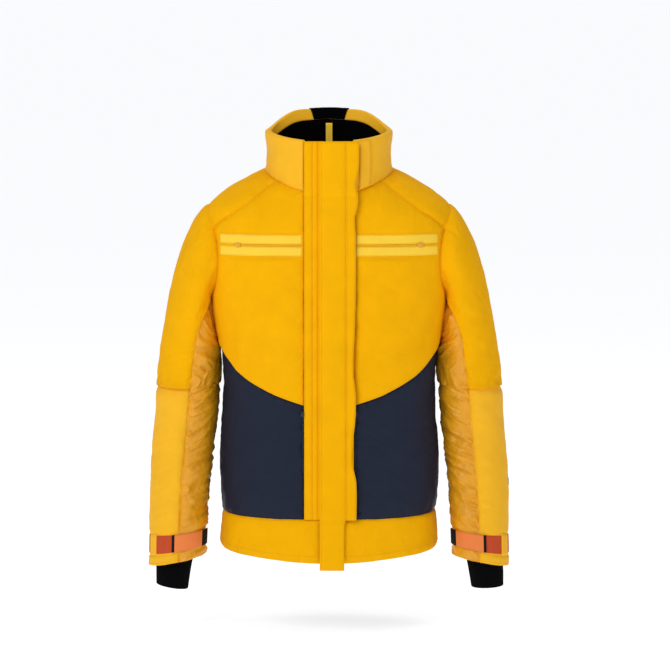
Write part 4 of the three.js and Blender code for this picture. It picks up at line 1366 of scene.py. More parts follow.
def stitches(
    name, lines, material, body, blended=False, pitch=3.4, length=2.7, width=0.75, height=0.5
):
    """Topstitching on one body. Each line is (points, outward, weights)."""
    obj = repeated(
        name, STITCH_TREE, [(p, a) for p, a, _ in lines], material,
        Pitch=pitch, Length=length, Width=width, Height=height, Uneven=0.06, Seed=4,
    )
    if blended:
        points = np.concatenate([p for p, _, _ in lines])
        weights = np.concatenate([w for _, _, w in lines])
        here = np.empty(len(obj.data.vertices) * 3)
        obj.data.vertices.foreach_get("co", here)
        which, _ = nearest(here.reshape(-1, 3) / MM, points)
        carry(obj, body, weights[which])
    else:
        carry(obj, body)
    return obj


# %% [markdown]
# ## The centre front
#
# Everything at the centre front lies along one straight line that leans back a little. Points here
# are given as x, how far out of the front they are, and how far up the line. The storm flap is sewn
# to the right strip and covers the zip. Its free edge has a stitched band that waves slightly,
# because the stitching pulls it in.

# %% Strips, storm flap and zip
AHEAD = np.array([0, -math.cos(LEAN), math.sin(LEAN)])
UPWARD = np.array([0, math.sin(LEAN), math.cos(LEAN)])
FOOT = body_face(np.array(-math.pi / 2), np.array(HEM))
FRONT_TOP = (RIM - HEM) / math.cos(LEAN)
SEAM_UP = (HEM_SEAM - HEM) / math.cos(LEAN)
NECK_UP = (NECK - HEM) / math.cos(LEAN)


def front(x, out, up):
    x, out, up = np.broadcast_arrays(*(np.asarray(v, float)[..., None] for v in (x, out, up)))
    return FOOT + x * np.array([1.0, 0, 0]) + out * AHEAD + up * UPWARD


def bump(x, low, high, power=2.0):
    """1 in the middle of a span, 0 at its ends and outside."""
    t = np.clip((2 * x - low - high) / (high - low), -1, 1)
    return 1 - np.abs(t) ** power


def front_slab(name, x, up, outer, inner, materials):
    x, up = np.broadcast_arrays(x, up)
    return slab(name, front(x, 0, up), front(x, outer, up), front(x, inner, up), materials)


def line_on_front(x, ups, outer, lift=0.2):
    x, ups = np.broadcast_arrays(np.asarray(x, float), ups)
    return front(x, outer(x, ups) + lift, ups), np.broadcast_to(AHEAD, (len(ups), 3)), np.zeros(len(ups))


def end_round(up, low, high, size=3.0, drop=2.5):
    near = np.clip(np.minimum(up - low, high - up) / size, 0, 1)
    return -drop * (1 - np.sqrt(1 - (1 - near) ** 2))


def strip_face(x, up):
    """The right strip: two padded channels between stitch lines, then the raised seam of the flap."""
    wave = noise(np.stack([x * 0.6, 0 * x, up], -1), 34.0, 3)
    swell = 2.4 * bump(x, -45.8, -30.0, 4) + 1.3 * bump(x, -30.0, -20.0, 4) + 0.8 * bump(x, -20.0, -16, 4)
    crease = -1.8 * np.exp(-(((up - NECK_UP + 2) / 4.0) ** 2))
    seat = 5.5 * (smooth((x + 17.4) / 0.4) - smooth((x + 11.0) / 0.4))
    return swell * (1 + 0.35 * wave) + crease * (x < -17) + seat + end_round(up, SEAM_UP, FRONT_TOP)


def left_strip_face(x, up):
    wave = noise(np.stack([x * 0.6, 0 * x + 50, up], -1), 34.0, 8)
    return 1.6 * bump(x, 10.3, 45.6, 6) * (1 + 0.3 * wave) - 0.4 + end_round(up, SEAM_UP, FRONT_TOP)


rows_up = np.linspace(SEAM_UP + 0.6, FRONT_TOP, 230)[:, None]
columns = np.array([[
    -45.4, -44.6, -43, -40, -37, -34, -32, -31, -30.4, -30, -29.6, -29, -27, -25, -23, -21, -20.4,
    -20, -19.6, -18.6, -17.5, -17.2, -17, -15, -13, -11, -10.8, -10.4,
]])
right_strip = front_slab(
    "right_front_strip_cloth", columns, rows_up,
    strip_face(columns + 0 * rows_up, rows_up + 0 * columns), -4.8, [MATTE],
)
carry(right_strip, "torso", replaces=["right_front_strip"])
columns = np.linspace(10.3, 45.4, 24)[None, :]
left_strip = front_slab(
    "left_front_strip_cloth", columns, rows_up,
    left_strip_face(columns + 0 * rows_up, rows_up + 0 * columns), -4.8, [MATTE],
)
carry(left_strip, "torso", replaces=["left_front_strip"])

EDGE_Z = [
    -800, -719, -645, -611, -576, -530, -485, -440, -370, -300,
    -200, -161, -144, -128, -114, -102, -80, -63, -31, -10,
]
EDGE_WAVE = [0, 1, 1, -5.5, -5.5, -1, 0, -4.5, -2, 0, 0, -1.5, 2.5, 4.5, 2.5, 0, 4, 6, 6, 6]
flap_edge = curve_through(EDGE_Z, EDGE_WAVE)
C_LOW = 30.5


def flap_right(up):
    z = HEM + up * math.cos(LEAN)
    narrow = 28 + 2.5 * smooth((up - 72) / 9)
    return narrow, 49 + flap_edge(z)


def flap_face(x, up):
    edge = flap_right(up)[1]
    broad = noise(np.stack([x * 0.8, 0 * x + 20, up], -1), 60.0, 14)
    fine = noise(np.stack([x, 0 * x + 9, up * 2.2], -1), 16.0, 15)
    by_seam = np.exp(-np.abs(x - 31.5) / 5.0) + np.exp(-np.abs(x + 14) / 5.0)
    face = 8.6 + 2.6 * bump(x, -19, C_LOW + 1, 4) + 1.2 * broad + 0.7 * fine * by_seam
    face = face + 1.6 * bump(x, C_LOW + 1.5, edge + 1.5, 4) * (x > C_LOW)
    face = face - 1.0 * np.exp(-(((x - 31.5) / 1.6) ** 2)) * (up > SEAM_UP)
    root = -2.2 * (1 - smooth((x + 17) / 3.0))
    free = -1.8 * (1 - smooth((np.where(up > SEAM_UP, edge, 28) - x) / 2.0)) * (x > 20)
    crease = -1.3 * np.exp(-(((up - NECK_UP + 2) / 5.0) ** 2)) - 1.5 * np.exp(-(((up - SEAM_UP) / 4.0) ** 2))
    return face + root + free + crease + end_round(up, -11, FRONT_TOP)


ups_high = np.linspace(SEAM_UP, FRONT_TOP, 240)
ups_all = np.concatenate([np.linspace(-11, SEAM_UP, 32)[:-1], ups_high])
share = np.concatenate([[0, 0.01, 0.03, 0.06], np.linspace(0.1, 1, 17)])
x_main = -17 + share[None, :] * (flap_right(ups_all)[0][:, None] + 17)
up_main = ups_all[:, None] + 0 * x_main
share = np.concatenate([np.linspace(0, 0.88, 9), [0.93, 0.97, 1.0]])
x_band = C_LOW + share[None, :] * (flap_right(ups_high)[1][:, None] - C_LOW)
up_band = ups_high[:, None] + 0 * x_band
grids = [(x_main, up_main), (x_band, up_band)]
key = np.concatenate([front(x, 0, up).reshape(-1, 3) for x, up in grids])
top = np.concatenate([front(x, flap_face(x, up), up).reshape(-1, 3) for x, up in grids])
under = np.concatenate([front(x, 6.1 + 0 * x, up).reshape(-1, 3) for x, up in grids])
uv = np.concatenate([grid_lengths(front(x, 0, up)) for x, up in grids])
quads = np.concatenate([grid_quads(*x_main.shape), grid_quads(*x_band.shape, x_main.size)])
flap, _ = close_shell("storm_flap_cloth", key, top, under, quads, uv, [MATTE])
carry(flap, "storm_flap", replaces=["storm_flap"])

for sign, side_name in ((1, "left"), (-1, "right")):
    x = sign * np.linspace(3.6, 10.0, 8)[:: sign][None, :]
    up = np.linspace(6, FRONT_TOP - 2, 80)[:, None]
    tape = front_slab(f"{side_name}_zip_tape_cloth", x, up, -0.5 + 0 * x, -1.4, [TAPE])
    carry(tape, "torso", replaces=[f"{side_name}_zip_tape"])
ups = np.linspace(7, FRONT_TOP - 3, 60)
teeth_lines = [(front(1.25 + 0 * ups, -0.4, ups), np.broadcast_to(AHEAD, (60, 3)))]
teeth_lines.append((front(-1.25 + 0 * ups, -0.4, ups + 1.5), np.broadcast_to(AHEAD, (60, 3))))
teeth = repeated(
    "main_zip_teeth", TOOTH_TREE, teeth_lines, TEETH,
    Pitch=3.0, Length=1.7, Width=3.4, Height=2.8, Uneven=0.0, Seed=1,
)
carry(teeth, "torso", replaces=["zip_teeth"])
shield = [(-3.9, 0), (3.9, 0), (5.2, 8), (5.2, 13), (3.6, 15), (-3.6, 15), (-5.2, 13), (-5.2, 8)]
place = (front(0, 0, 751.9), (1, 0, 0), UPWARD, AHEAD)
slider = plates("main_zip_slider_body", [(shield, 1.7, 3.0)], place, TEETH)
carry(slider, "main_zip_slider", replaces=["main_zip_slider"])
pull = [(rectangle(-4, 4, 0, 30, 2.5), 0.0, 1.4), (rectangle(-2.2, 2.2, 28, 36, 1.2), 0.1, 1.3)]
pull += [(rectangle(-2.8, 2.8, y, y + 1.2), 1.2, 1.75) for y in (5, 8, 11, 14)]
place = (front(0, 3.4, 724.9), (1, 0, 0), UPWARD, AHEAD)
main_pull = plates("main_zip_pull", pull, place, TEETH)
carry(main_pull, "main_zip_slider", replaces=["main_zip_puller"])

stitch_rows = np.linspace(SEAM_UP + 2, FRONT_TOP - 4, 200)
lines = [line_on_front(x, stitch_rows, strip_face) for x in (-43.6, -30.0, -20.0)]
stitches("right_strip_stitches", lines, THREAD, "torso")
lines = [line_on_front(x, stitch_rows, left_strip_face) for x in (12.5, 43.2)]
stitches("left_strip_stitches", lines, THREAD, "torso")
lines = [line_on_front(x, stitch_rows, flap_face) for x in (29.8, 33.2)]
lines.append(line_on_front(-13.6, np.linspace(-8, FRONT_TOP - 4, 220), flap_face))
lines.append(line_on_front(flap_right(stitch_rows)[1] - 2.6, stitch_rows, flap_face))
stitches("storm_flap_stitches", lines, THREAD, "storm_flap")
print("centre front:", round(FRONT_TOP), "mm from hem to rim")

# %% [markdown]
# ## Chest pockets
#
# Each chest pocket is two bands of ribbed ribbon sewn on either side of a zip. The cloth under them
# was pressed flat above, so the bands follow it. The slider runs on an arc, as the chest is round.

# %% Ribbon bands, chest zips and their sliders
SLIT_LOW, SLIT_HIGH = -214.7, -210.3


def level(z, x0, x1):
    """A level line on the front of the body between two x."""
    def at(s):
        x = x0 + np.asarray(s, float) * (x1 - x0)
        angle = angle_at(x, height_at(angle_at(x, z), z))
        return angle, height_at(angle, z)

    return at


def level_patch(z0, z1, x0, x1, spacing=5.0):
    low, high = level(z0, x0, x1), level(z1, x0, x1)
    ends = [line(tuple(map(float, low(s))), tuple(map(float, high(s)))) for s in (0.0, 1.0)]
    return Patch(body, dict(bottom=low, top=high, left=ends[0], right=ends[1]), spacing=spacing)


for side_name, side in SIDES:
    panel = [cut[side_name]["front"]]
    for part, z0, z1 in (("upper", SLIT_HIGH, BAND_HIGH), ("lower", BAND_LOW, SLIT_LOW)):
        patch = level_patch(z0, z1, BAND_IN, BAND_OUT)
        rise = np.clip(rise_under(panel, patch.points(FINE)), -1.5, 1.6)
        band = on_surface(f"{side_name}_chest_ribbon_{part}", patch, rise - 0.5, rise + 1.7, [RIBBON], side)
        carry(band, "torso", replaces=[f"{side_name}_chest_band_{part}"])
        lines = [inset_line(patch, edge, 1.6, lift=0.1) for edge in ("bottom", "top")]
        lines += [inset_line(patch, edge, 2.0, lift=0.1) for edge in ("left", "right")]
        stitches(f"{side_name}_ribbon_stitches_{part}", lines, THREAD, "torso")
    patch = level_patch(SLIT_LOW + 0.4, SLIT_HIGH - 0.4, 50, 175, 4.0)
    rise = np.clip(rise_under(panel, patch.points(FINE)), -1.5, 1.0)
    coil = on_surface(
        f"{side_name}_chest_zip_coil", patch, rise - 0.5, 0.5 * rise + 1.9, [TAPE], side, edge=1.2
    )
    carry(coil, "torso", replaces=[f"{side_name}_chest_zip"])
    along = np.array([0.92522, side * 0.37944, 0])
    out = np.array([side * 0.37944, -0.92522, 0])
    place = (node_middle(f"{side_name}_chest_slider"), along, (0, 0, 1), out)
    shapes = [
        (rectangle(-5, 5, -3.25, 3.25, 1.4), -1.0, 0.4),
        (rectangle(-2.5, 2.5, -1.1, 1.1, 0.6), 0.3, 1.3),
    ]
    slider = plates(f"{side_name}_chest_slider_body", shapes, place, TEETH)
    carry(
        slider, f"{side_name}_chest_slider", replaces=[f"{side_name}_chest_slider"],
    )

# %% [markdown]
# ## Hand pockets
#
# The hand pockets' zips stand in the seam beside the front strips and are the colour of the lower
# panels, so they hardly show. Their bags hang between the padding and the lining.

# %% Hand pocket zips, sliders and bags
def upright(x, z0, z1):
    def at(t):
        h = z0 + np.asarray(t, float) * (z1 - z0)
        return angle_at(x, h), h

    return at


for side_name, side in SIDES:
    x0, x1 = 46.6, 50.2
    low, high = -627.0, -515.0
    patch = Patch(body, dict(
        bottom=line(spot(x0, low), spot(x1, low)), top=line(spot(x0, high), spot(x1, high)),
        left=upright(x0, low, high), right=upright(x1, low, high),
    ), spacing=3.6)
    coil = on_surface(f"{side_name}_hand_zip_coil", patch, -2.5, 2.3, [NAVY], side, edge=1.2)
    carry(coil, "torso", replaces=[f"{side_name}_hand_pocket_zip"])
    place = (node_middle(f"{side_name}_hand_pocket_slider"), (1, 0, 0), UPWARD, AHEAD)
    shapes = [
        (rectangle(-3.25, 3.25, -5, 5, 1.4), -1.0, 0.4),
        (rectangle(-1.1, 1.1, -2.5, 2.5, 0.6), 0.3, 1.0),
    ]
    slider = plates(f"{side_name}_hand_slider_body", shapes, place, BLACK)
    node_name = f"{side_name}_hand_pocket_slider"
    carry(slider, node_name, replaces=[node_name])
    a0, a1 = float(angle_at(46, -600)), float(angle_at(151, -600))
    bag_low = float(height_at(angle_at(60, -650), -672.0))
    patch = Patch(body, box_edges(a0, a1, bag_low, -515.0), spacing=12)
    patch_base = patch.points(1)
    bag = on_surface(f"{side_name}_hand_pocket_bag_cloth", patch, -7.6, -6.5, [LINING], side, edge=0.2)
    carry(bag, "torso", replaces=[f"{side_name}_hand_pocket_bag"])

# %% [markdown]
# ## Lining
#
# Three plain panels hang inside the padding: one behind each front, and one across the back.

# %% Lining
LINE_LOW, LINE_TOP = HEM + 12, NECK - 1


def lining_side(sign):
    def at(t):
        t = np.asarray(t, float)
        low = LINE_LOW + np.clip(t / 0.5, 0, 1) * (ARM_LOW - LINE_LOW)
        a, h = armhole(sign * math.pi * (1 - np.clip((t - 0.5) / 0.25, 0, 1)))
        high = ARM_TOP + np.clip((t - 0.75) / 0.25, 0, 1) * (LINE_TOP - ARM_TOP)
        first, last = t <= 0.5, t > 0.75
        return np.where(first | last, 0.0, a), np.where(first, low, np.where(last, high, h))

    return at


def lining_piece(name, patch, node_name, side=1):
    base = patch.points(FINE)
    out = patch.points(FINE, 1.0) - base
    loose = 0.8 * noise(base, 40.0, 60)[..., None]
    obj = slab(name, base, base + out * (loose - 9.6), base + out * (loose - 10.8), [LINING], side)
    carry(obj, "torso", replaces=[node_name])


for side_name, side in SIDES:
    patch = Patch(body, dict(
        bottom=line(spot(14, LINE_LOW), (0, LINE_LOW)), top=line(spot(14, LINE_TOP), (0, LINE_TOP)),
        left=front_edge(LINE_LOW, LINE_TOP, 14), right=lining_side(-1),
    ), spacing=18)
    lining_piece(f"{side_name}_front_lining_cloth", patch, f"{side_name}_front_lining", side)
patch = Patch(body, dict(
    bottom=line((0, LINE_LOW), (math.pi, LINE_LOW)), top=line((0, LINE_TOP), (math.pi, LINE_TOP)),
    left=lining_side(1), right=mirrored(lining_side(1)),
), spacing=18)
lining_piece("back_lining_cloth", patch, "back_lining")

# %% [markdown]
# ## Collar
#
# The collar is one padded band that rolls over its rim and ends as a facing inside. Its section is
# carried round the neck. Brushed fleece lines the rest, and a dark patch covers the facing behind
# the neck, above the hanger loop.

# %% Collar, its lining, patch, tab and loop
FACING_LOW = -52.0
CORNER_RISE = 10.0


def raised_corners(points, angle, height):
    """The rim rolls over a stiff edge, so it stands level across the back instead of arching."""
    share = smooth((height - NECK) / (RIM - NECK))
    corner = np.exp(-(((np.abs(angle / DEG - 90) - 42) / 20) ** 2))
    return points + (CORNER_RISE * share * corner)[..., None] * [0, 0, 1]


def around_neck(stations, heights, offsets):
    """Points round the neck: stations by section points. Heights and offsets have one value for each."""
    s = np.linspace(0, 1, stations)[:, None]
    h = np.broadcast_to(heights, (stations, len(heights)))
    first = angle_at(EDGE_X, h)
    angle = first + s * (math.pi - 2 * first)
    return raised_corners(body(angle, h, np.broadcast_to(offsets, h.shape)), angle, h), angle


turns = np.linspace(0, math.pi, 9)
rim_h, rim_mid, rim_r = RIM - 5.2, -4.6, 5.6
section_h = np.concatenate([
    np.linspace(NECK, rim_h, 26), rim_h + 5.2 * np.sin(turns[1:-1]), np.linspace(rim_h, FACING_LOW, 8),
    np.linspace(FACING_LOW, NECK, 12),
])
outer_part = np.linspace(0, 1, 26)
section_o = np.concatenate([
    -2.6 * np.exp(-outer_part * 20) + 1.0 + 2.2 * np.sin(outer_part * math.pi) ** 0.8,
    rim_mid + rim_r * np.cos(turns[1:-1]), np.full(8, rim_mid - rim_r), np.full(12, -5.0),
])
rings = around_neck(170, section_h, section_o)[0]
outward = around_neck(170, section_h, section_o + 1.0)[0] - rings
seam_far = np.abs(section_h - NECK)[None, :]
arc = lengths(rings, 0)
soft = noise(rings, 30.0, 41) * 1.3 * (np.arange(len(section_h)) < 33)[None, :]
tight = noise(np.stack([arc / 8.0, seam_far / 26.0 + 0 * arc, 0 * arc], -1), 1.0, 43)
tight = 1.3 * tight * np.exp(-seam_far / 15.0) * (np.arange(len(section_h)) < 26)[None, :]
rings = rings + outward * (soft + tight)[..., None]
collar = sweep("collar_cloth", rings, [LIGHT], crisp=False)
carry(collar, "torso", replaces=["collar_shell", "collar_facing"])

heights = np.linspace(NECK, FACING_LOW + 1, 22)
base = around_neck(150, heights, 0 * heights)[0].swapaxes(0, 1)
out = around_neck(150, heights, 0 * heights + 1)[0].swapaxes(0, 1) - base
fuzz = 0.5 * noise(base, 5.0, 51)[..., None] + 0.8 * noise(base, 22.0, 52)[..., None]
fleece = slab("collar_fleece", base, base + out * -5.5, base + out * (fuzz - 9.6), [FLEECE])
carry(fleece, "torso", replaces=["collar_fleece_lining"])

rim_path_h = np.concatenate([np.linspace(FACING_LOW, rim_h, 9), rim_h + 5.2 * np.sin(turns[1:6])])
rim_path_o = np.concatenate([np.full(9, rim_mid - rim_r), rim_mid - rim_r * np.cos(turns[1:6])])
share = np.linspace(0, 1, len(rim_path_h))
half_patch = (19 + 3.5 * share) * DEG
s = np.linspace(-1, 1, 25)[None, :]
angle = math.pi / 2 + s * half_patch[:, None]
h, o = rim_path_h[:, None] + 0 * angle, rim_path_o[:, None] + 0 * angle
rim_centre = raised_corners(body(angle, np.minimum(h, rim_h), rim_mid + 0 * angle), angle, h)
base = raised_corners(body(angle, h, o), angle, h)
away = base - rim_centre
away /= np.linalg.norm(away, axis=-1, keepdims=True)
nap = base + away * (1.9 + 0.3 * noise(base, 6.0, 55)[..., None])
patch_piece = slab(
    "collar_patch_cloth", base[:, ::-1], nap[:, ::-1], (base + away * 0.2)[:, ::-1], [FLEECE]
)
carry(patch_piece, "torso", replaces=["collar_back_patch"])

patch = Patch(body, dict(
    bottom=line(spot(54, NECK + 2), spot(73, NECK + 2)), top=line(spot(54, RIM - 4), spot(73, RIM - 4)),
    left=upright(54, NECK + 2, RIM - 4), right=upright(73, NECK + 2, RIM - 4),
), spacing=5)
u = np.linspace(0, 1, patch.nt * FINE + 1)[:, None]
swell = 1.0 + 2.2 * np.sin(u * math.pi) ** 0.8
tab = on_surface("collar_tab_cloth", patch, swell - 0.3, swell + 3.4, [LIGHT], edge=1.2)
carry(tab, "torso", replaces=["collar_tab"])
lines = [inset_line(patch, edge, 2.2) for edge in ("left", "right")]
stitches("collar_tab_stitches", lines, THREAD, "torso")

loop_high = np.array(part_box("hanger_loop")[1]) / MM
path = [(loop_high[1], 0.7), (-2.5, 0.7), (-5.2, 0.6), (-6.6, -0.6), (-6.9, -3), (-7.0, -23), (-6.9, -43)]
path += [(-6.6, -45.4), (-5.2, -46.6), (-2.5, -46.7), (loop_high[1] - 2, -46.7)]
path = cubic(np.array(path, float), 4, 0)
step = np.gradient(path, axis=0)
normal = np.stack([step[:, 1], -step[:, 0]], -1)
normal /= np.linalg.norm(normal, axis=1, keepdims=True)
rings = []
for (y, z), (ny, nz) in zip(path, normal):
    rings.append([(x, y + ny * o, z + nz * o) for x, o in ((-6, -0.7), (6, -0.7), (6, 0.7), (-6, 0.7))])
loop = sweep("hanger_loop_strap", np.array(rings, float), [RIBBON])
carry(loop, "torso", replaces=["hanger_loop"])
print("the hanger loop is", round(float(np.ptp(rings, axis=0).max())), "mm from end to end")

# %% [markdown]
# ## Cuffs
#
# Each cuff has a red pile patch, an orange strap with black ends that sticks to it, and a yellow
# keeper. A ribbed gaiter is sewn inside the sleeve's end and narrows to the wrist.

# %% Cuff patch, strap, keeper and gaiter
STRAP_LOW, STRAP_TOP = 10.8, 10.49  # rows of the sleeve
KEEPER_LOW, KEEPER_TOP = 10.83, 10.46
PILE_TURNS, KEEPER_TURNS, STRAP_TURNS = (-104, 8), (-44, -21), (-176, -80)  # degrees
BLACK_BELOW, BLACK_ABOVE = -146, -86  # the turns between which the strap is orange
GAITER_RINGS = (
    # height, half width, half depth, how far forward, share of the sideways shift
    (-777, 38, 40, 0, 0.2),
    (-807, 33, 38, -2, 0.6),
    (-851, 29, 35, -4, 1.0),
)


def cuff_patch(from_turn, to_turn, low_at=STRAP_LOW, high_at=STRAP_TOP, spacing=5.0):
    first, last = still(from_turn * DEG), still(to_turn * DEG)
    return sleeve_block(first, last, low_at, high_at, "left right bottom top", spacing=spacing)


for side_name, side in SIDES:
    forearm = [cut[side_name]["forearm"], cut[side_name]["forearm_under"]]
    patch = cuff_patch(*PILE_TURNS)
    rise = np.clip(rise_under(forearm, patch.points(FINE)), -1, 1.2)
    red = on_surface(f"{side_name}_cuff_pile", patch, rise - 0.6, rise + 1.5, [PILE], side, edge=0.6)
    carry(red, f"{side_name}_forearm", replaces=[f"{side_name}_cuff_loop_patch"])
    patch = cuff_patch(*KEEPER_TURNS, KEEPER_LOW, KEEPER_TOP, 4.0)
    u = np.linspace(0, 1, patch.nt * FINE + 1)[:, None]
    ends = 1.6 * (1 - smooth(np.minimum(u, 1 - u) / 0.12))
    keeper = on_surface(f"{side_name}_cuff_keeper", patch, 1.9 - ends * 1.4, 3.6 - ends, [LIGHT], side)
    carry(keeper, f"{side_name}_forearm")

    patch = cuff_patch(*STRAP_TURNS)
    columns = patch.ns * FINE
    turn = STRAP_TURNS[0] + np.ptp(STRAP_TURNS) * (np.arange(columns) + 0.5) / columns
    kinds = np.where((turn < BLACK_BELOW) | (turn > BLACK_ABOVE), 1, 0)[None, :]
    strap = on_surface(f"{side_name}_cuff_tab", patch, 2.2, 4.4, [STRAP, HOOK], side, edge=1.0, kinds=kinds)
    index = np.zeros(len(strap.data.polygons), np.int32)
    strap.data.polygons.foreach_get("material_index", index)
    index[2 * columns * patch.nt * FINE :] = 0
    strap.data.polygons.foreach_set("material_index", index)
    carry(strap, f"{side_name}_cuff_strap", replaces=[f"{side_name}_cuff_strap"])
    lines = [inset_line(patch, edge, 1.8, 0.32, 0.92) for edge in ("bottom", "top")]
    stitches(f"{side_name}_cuff_tab_stitches", lines, STRAP, f"{side_name}_cuff_strap")

    around = np.linspace(0, 2 * math.pi, 129)[:-1]
    middle_y = MID_Y + ring_middle(11.0)
    outward = 10.0 if side > 0 else 7.0
    rows = [sleeve(around, at + 0 * around, -6.4 + 0 * around) for at in (10.2, 10.35)]
    for z, half_x, half_y, lag, move in GAITER_RINGS:
        tilt = -5.0 * move * np.cos(around) * (1 if side < 0 else 0.3)
        x = 284 + outward * move + half_x * np.cos(around)
        y = middle_y + lag + half_y * np.sin(around)
        rows.append(np.stack([x, y, z - tilt * (z < -800) + 0 * x], -1))
    tube = cubic(np.array(rows), 9, 0)
    centre_line = tube.mean(1, keepdims=True)
    radial = tube - centre_line
    radial /= np.linalg.norm(radial, axis=-1, keepdims=True)
    rib = 0.5 * np.cos(around * 32)[None, :, None]
    slack = 1.0 * noise(tube, 26.0, 71 + side)[..., None]
    outer = tube + radial * (rib + slack)
    inner = tube + radial * (slack - 2.2)
    rings = np.concatenate([outer, inner[::-1]]).swapaxes(0, 1)
    gaiter = sweep(f"{side_name}_gaiter_knit", rings, [KNIT], side, crisp=False, closed=True)
    carry(gaiter, f"{side_name}_forearm", replaces=[f"{side_name}_wrist_gaiter"])

# %% [markdown]
# ## Sleeve pocket
#
# A short black zip on the left forearm opens a small pocket for a lift pass. Its slider runs up
# the sleeve and carries a pull that can swing.

# %% Sleeve pocket zip, slider and pull
PASS_TURN, PASS_LOW, PASS_HIGH, SEAT = 12 * DEG, 9.45, 8.55, -0.7
low = sleeve(PASS_TURN, PASS_LOW, SEAT)
high = sleeve(PASS_TURN, PASS_HIGH, SEAT)
up_sleeve = (high - low) / np.linalg.norm(high - low)
off_sleeve = sleeve(PASS_TURN, PASS_LOW, 1.0) - sleeve(PASS_TURN, PASS_LOW, 0.0)
across = np.cross(up_sleeve, off_sleeve)
across /= np.linalg.norm(across)
off_sleeve = np.cross(across, up_sleeve)
half = 1.8 / float(ring_half(PASS_LOW))
edges = still(PASS_TURN - half), still(PASS_TURN + half)
patch = sleeve_block(*edges, PASS_LOW, PASS_HIGH, "left right", spacing=4.0)
coil = on_surface("sleeve_pocket_coil", patch, SEAT - 0.8, SEAT + 1.9, [BLACK], edge=1.2)
carry(coil, "left_forearm", replaces=["sleeve_pocket_zip"])
place = (low + off_sleeve * 2.4 + up_sleeve * 5, across, up_sleeve, off_sleeve)
shapes = [(rectangle(-3.25, 3.25, -5, 5, 1.4), 0.0, 1.5), (rectangle(-1.1, 1.1, -1, 4.6, 0.6), 1.4, 2.0)]
slider = plates("sleeve_pocket_slider_body", shapes, place, BLACK)
carry(slider, "sleeve_pocket_slider", replaces=["sleeve_pocket_slider"])
place = (low + off_sleeve * 4.8 + up_sleeve * 10.3, across, up_sleeve, off_sleeve)
shapes = [(rectangle(-2.5, 2.5, -24, -8, 2.0), 0.0, 1.4), (rectangle(-1.2, 1.2, -9, 0, 0.8), 0.2, 1.2)]
pull = plates("sleeve_pocket_pull", shapes, place, BLACK)
carry(pull, "sleeve_pocket_puller", replaces=["sleeve_pocket_puller"])

# %% [markdown]
# ## Topstitching on the panels
#
# The seams that show are topstitched. On a panel that spans a joint, each stitch is given the weight
# of the cloth beneath it, but nothing applies it.

# %% Topstitch the seams
for side_name, side in SIDES:
    c = cut[side_name]
    shoulder, elbow = ("torso", f"{side_name}_sleeve"), (f"{side_name}_sleeve", f"{side_name}_forearm")
    lines = [inset_line(c["yoke"], "left", 3.0), inset_line(c["yoke"], "right", 3.0)]
    lines.append(inset_line(c["arm_front"], "top", 3.0, 0.45, 1.0))
    lines.append(inset_line(c["arm_back"], "top", 3.0, 0.0, 0.5))
    for key in ("arm_front", "arm", "arm_back"):
        lines += [inset_line(c[key], "bottom", inset) for inset in (2.0, 6.0)]
    stitches(f"{side_name}_raglan_stitches", lines, THREAD, shoulder, blended=True)
    lines = [inset_line(c["front"], "bottom", 2.5, 0.0, 1.0)]
    stitches(f"{side_name}_front_stitches", lines, THREAD, shoulder, blended=True)
    lines = [inset_line(c["hem"], "top", 3.0), inset_line(c["hem"], "bottom", 14.0)]
    stitches(f"{side_name}_hem_stitches", lines, THREAD, "torso")
    lines = [inset_line(c["forearm"], "bottom", 4.0), inset_line(c["forearm"], "bottom", 16.0)]
    lines += [inset_line(c["forearm"], "left", 2.5), inset_line(c["forearm"], "right", 2.5)]
    stitches(f"{side_name}_forearm_stitches", lines, THREAD, elbow, blended=True)
    lines = [inset_line(c["back"], "bottom", 3.0), inset_line(c["back"], "left", 3.0, 0.66, 1.0)]
    stitches(f"{side_name}_back_stitches", lines, THREAD, shoulder, blended=True)
lines = [inset_line(cut["back"]["hem"], "top", 3.0), inset_line(cut["back"]["hem"], "bottom", 14.0)]
stitches("back_hem_stitches", lines, THREAD, "torso")

# %% [markdown]
# ## Floor, light and camera
#
# A studio look: a wide pale floor, two large soft lights and a weak one from behind, and a long lens
# from slightly above, so that lines stay straight. A backdrop wall would hide the jacket's back, so
# the floor runs on instead.

# %% Floor, light and camera
FLOOR_Z, FLOOR_REACH, FLOOR_GLOW = -0.93, 150.0, 0.69


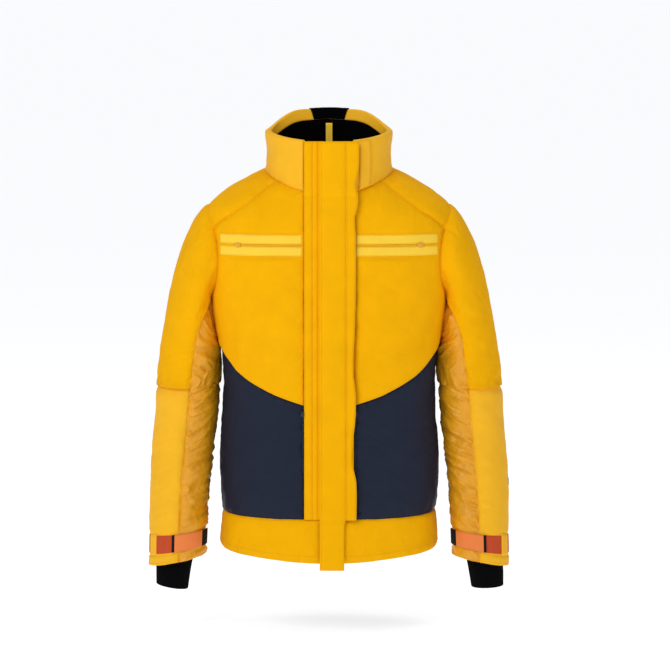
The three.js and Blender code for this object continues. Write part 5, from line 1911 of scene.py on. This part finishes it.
def studio_floor(name, colour):
    """A pale floor that runs on past every edge of the view and glows a little, like a light table."""
    mesh = bpy.data.meshes.new(name)
    corners = [(x, y, FLOOR_Z) for x, y in ((-1, -1), (1, -1), (1, 1), (-1, 1))]
    mesh.from_pydata([(x * FLOOR_REACH, y * FLOOR_REACH, z) for x, y, z in corners], [], [(0, 1, 2, 3)])
    mat = bpy.data.materials.new(name)
    mat.use_nodes = True
    shader = mat.node_tree.nodes["Principled BSDF"]
    shader.inputs["Base Color"].default_value = linear(colour)
    shader.inputs["Roughness"].default_value = 0.9
    shader.inputs["Emission Color"].default_value = (1, 1, 1, 1)
    shader.inputs["Emission Strength"].default_value = FLOOR_GLOW
    mesh.materials.append(mat)
    placed(name, mesh)


def soft_light(name, place, aim, size, power):
    data = bpy.data.lights.new(name, "AREA")
    data.shape = "SQUARE"
    data.size = size
    data.energy = power
    obj = placed(name, data)
    obj.location = place
    obj.rotation_euler = (Vector(aim) - Vector(place)).to_track_quat("-Z", "Y").to_euler()


studio_floor("studio_floor", "d0d0d0")
centre = (0.0, -0.08, -0.4)
soft_light("key_light", (-2.0, -2.9, 2.3), centre, 2.0, 76)
soft_light("fill_light", (2.4, -3.0, 0.2), centre, 2.6, 17)
soft_light("back_light", (0.4, 1.2, 2.4), centre, 1.6, 22)
world = bpy.data.worlds.new("studio_air")
world.use_nodes = True
world.node_tree.nodes["Background"].inputs[0].default_value = (0.9, 0.93, 1.0, 1)
world.node_tree.nodes["Background"].inputs[1].default_value = 0.44
scene.world = world
scene.view_settings.view_transform = "Standard"

ELEVATION = 6 * DEG
DISTANCE, VIEW_WIDTH = 7.0, 1.2395  # metres
lens = bpy.data.cameras.new("camera")
lens.sensor_width = 36
lens.lens = lens.sensor_width * DISTANCE / VIEW_WIDTH
target = Vector((0.011, -0.1, -0.3857))
camera = placed("camera", lens)
camera.location = target - DISTANCE * Vector((0, math.cos(ELEVATION), -math.sin(ELEVATION)))
camera.rotation_euler = (math.pi / 2 - ELEVATION, 0, 0)
scene.camera = camera
print("camera at", np.round(camera.location, 3).tolist())
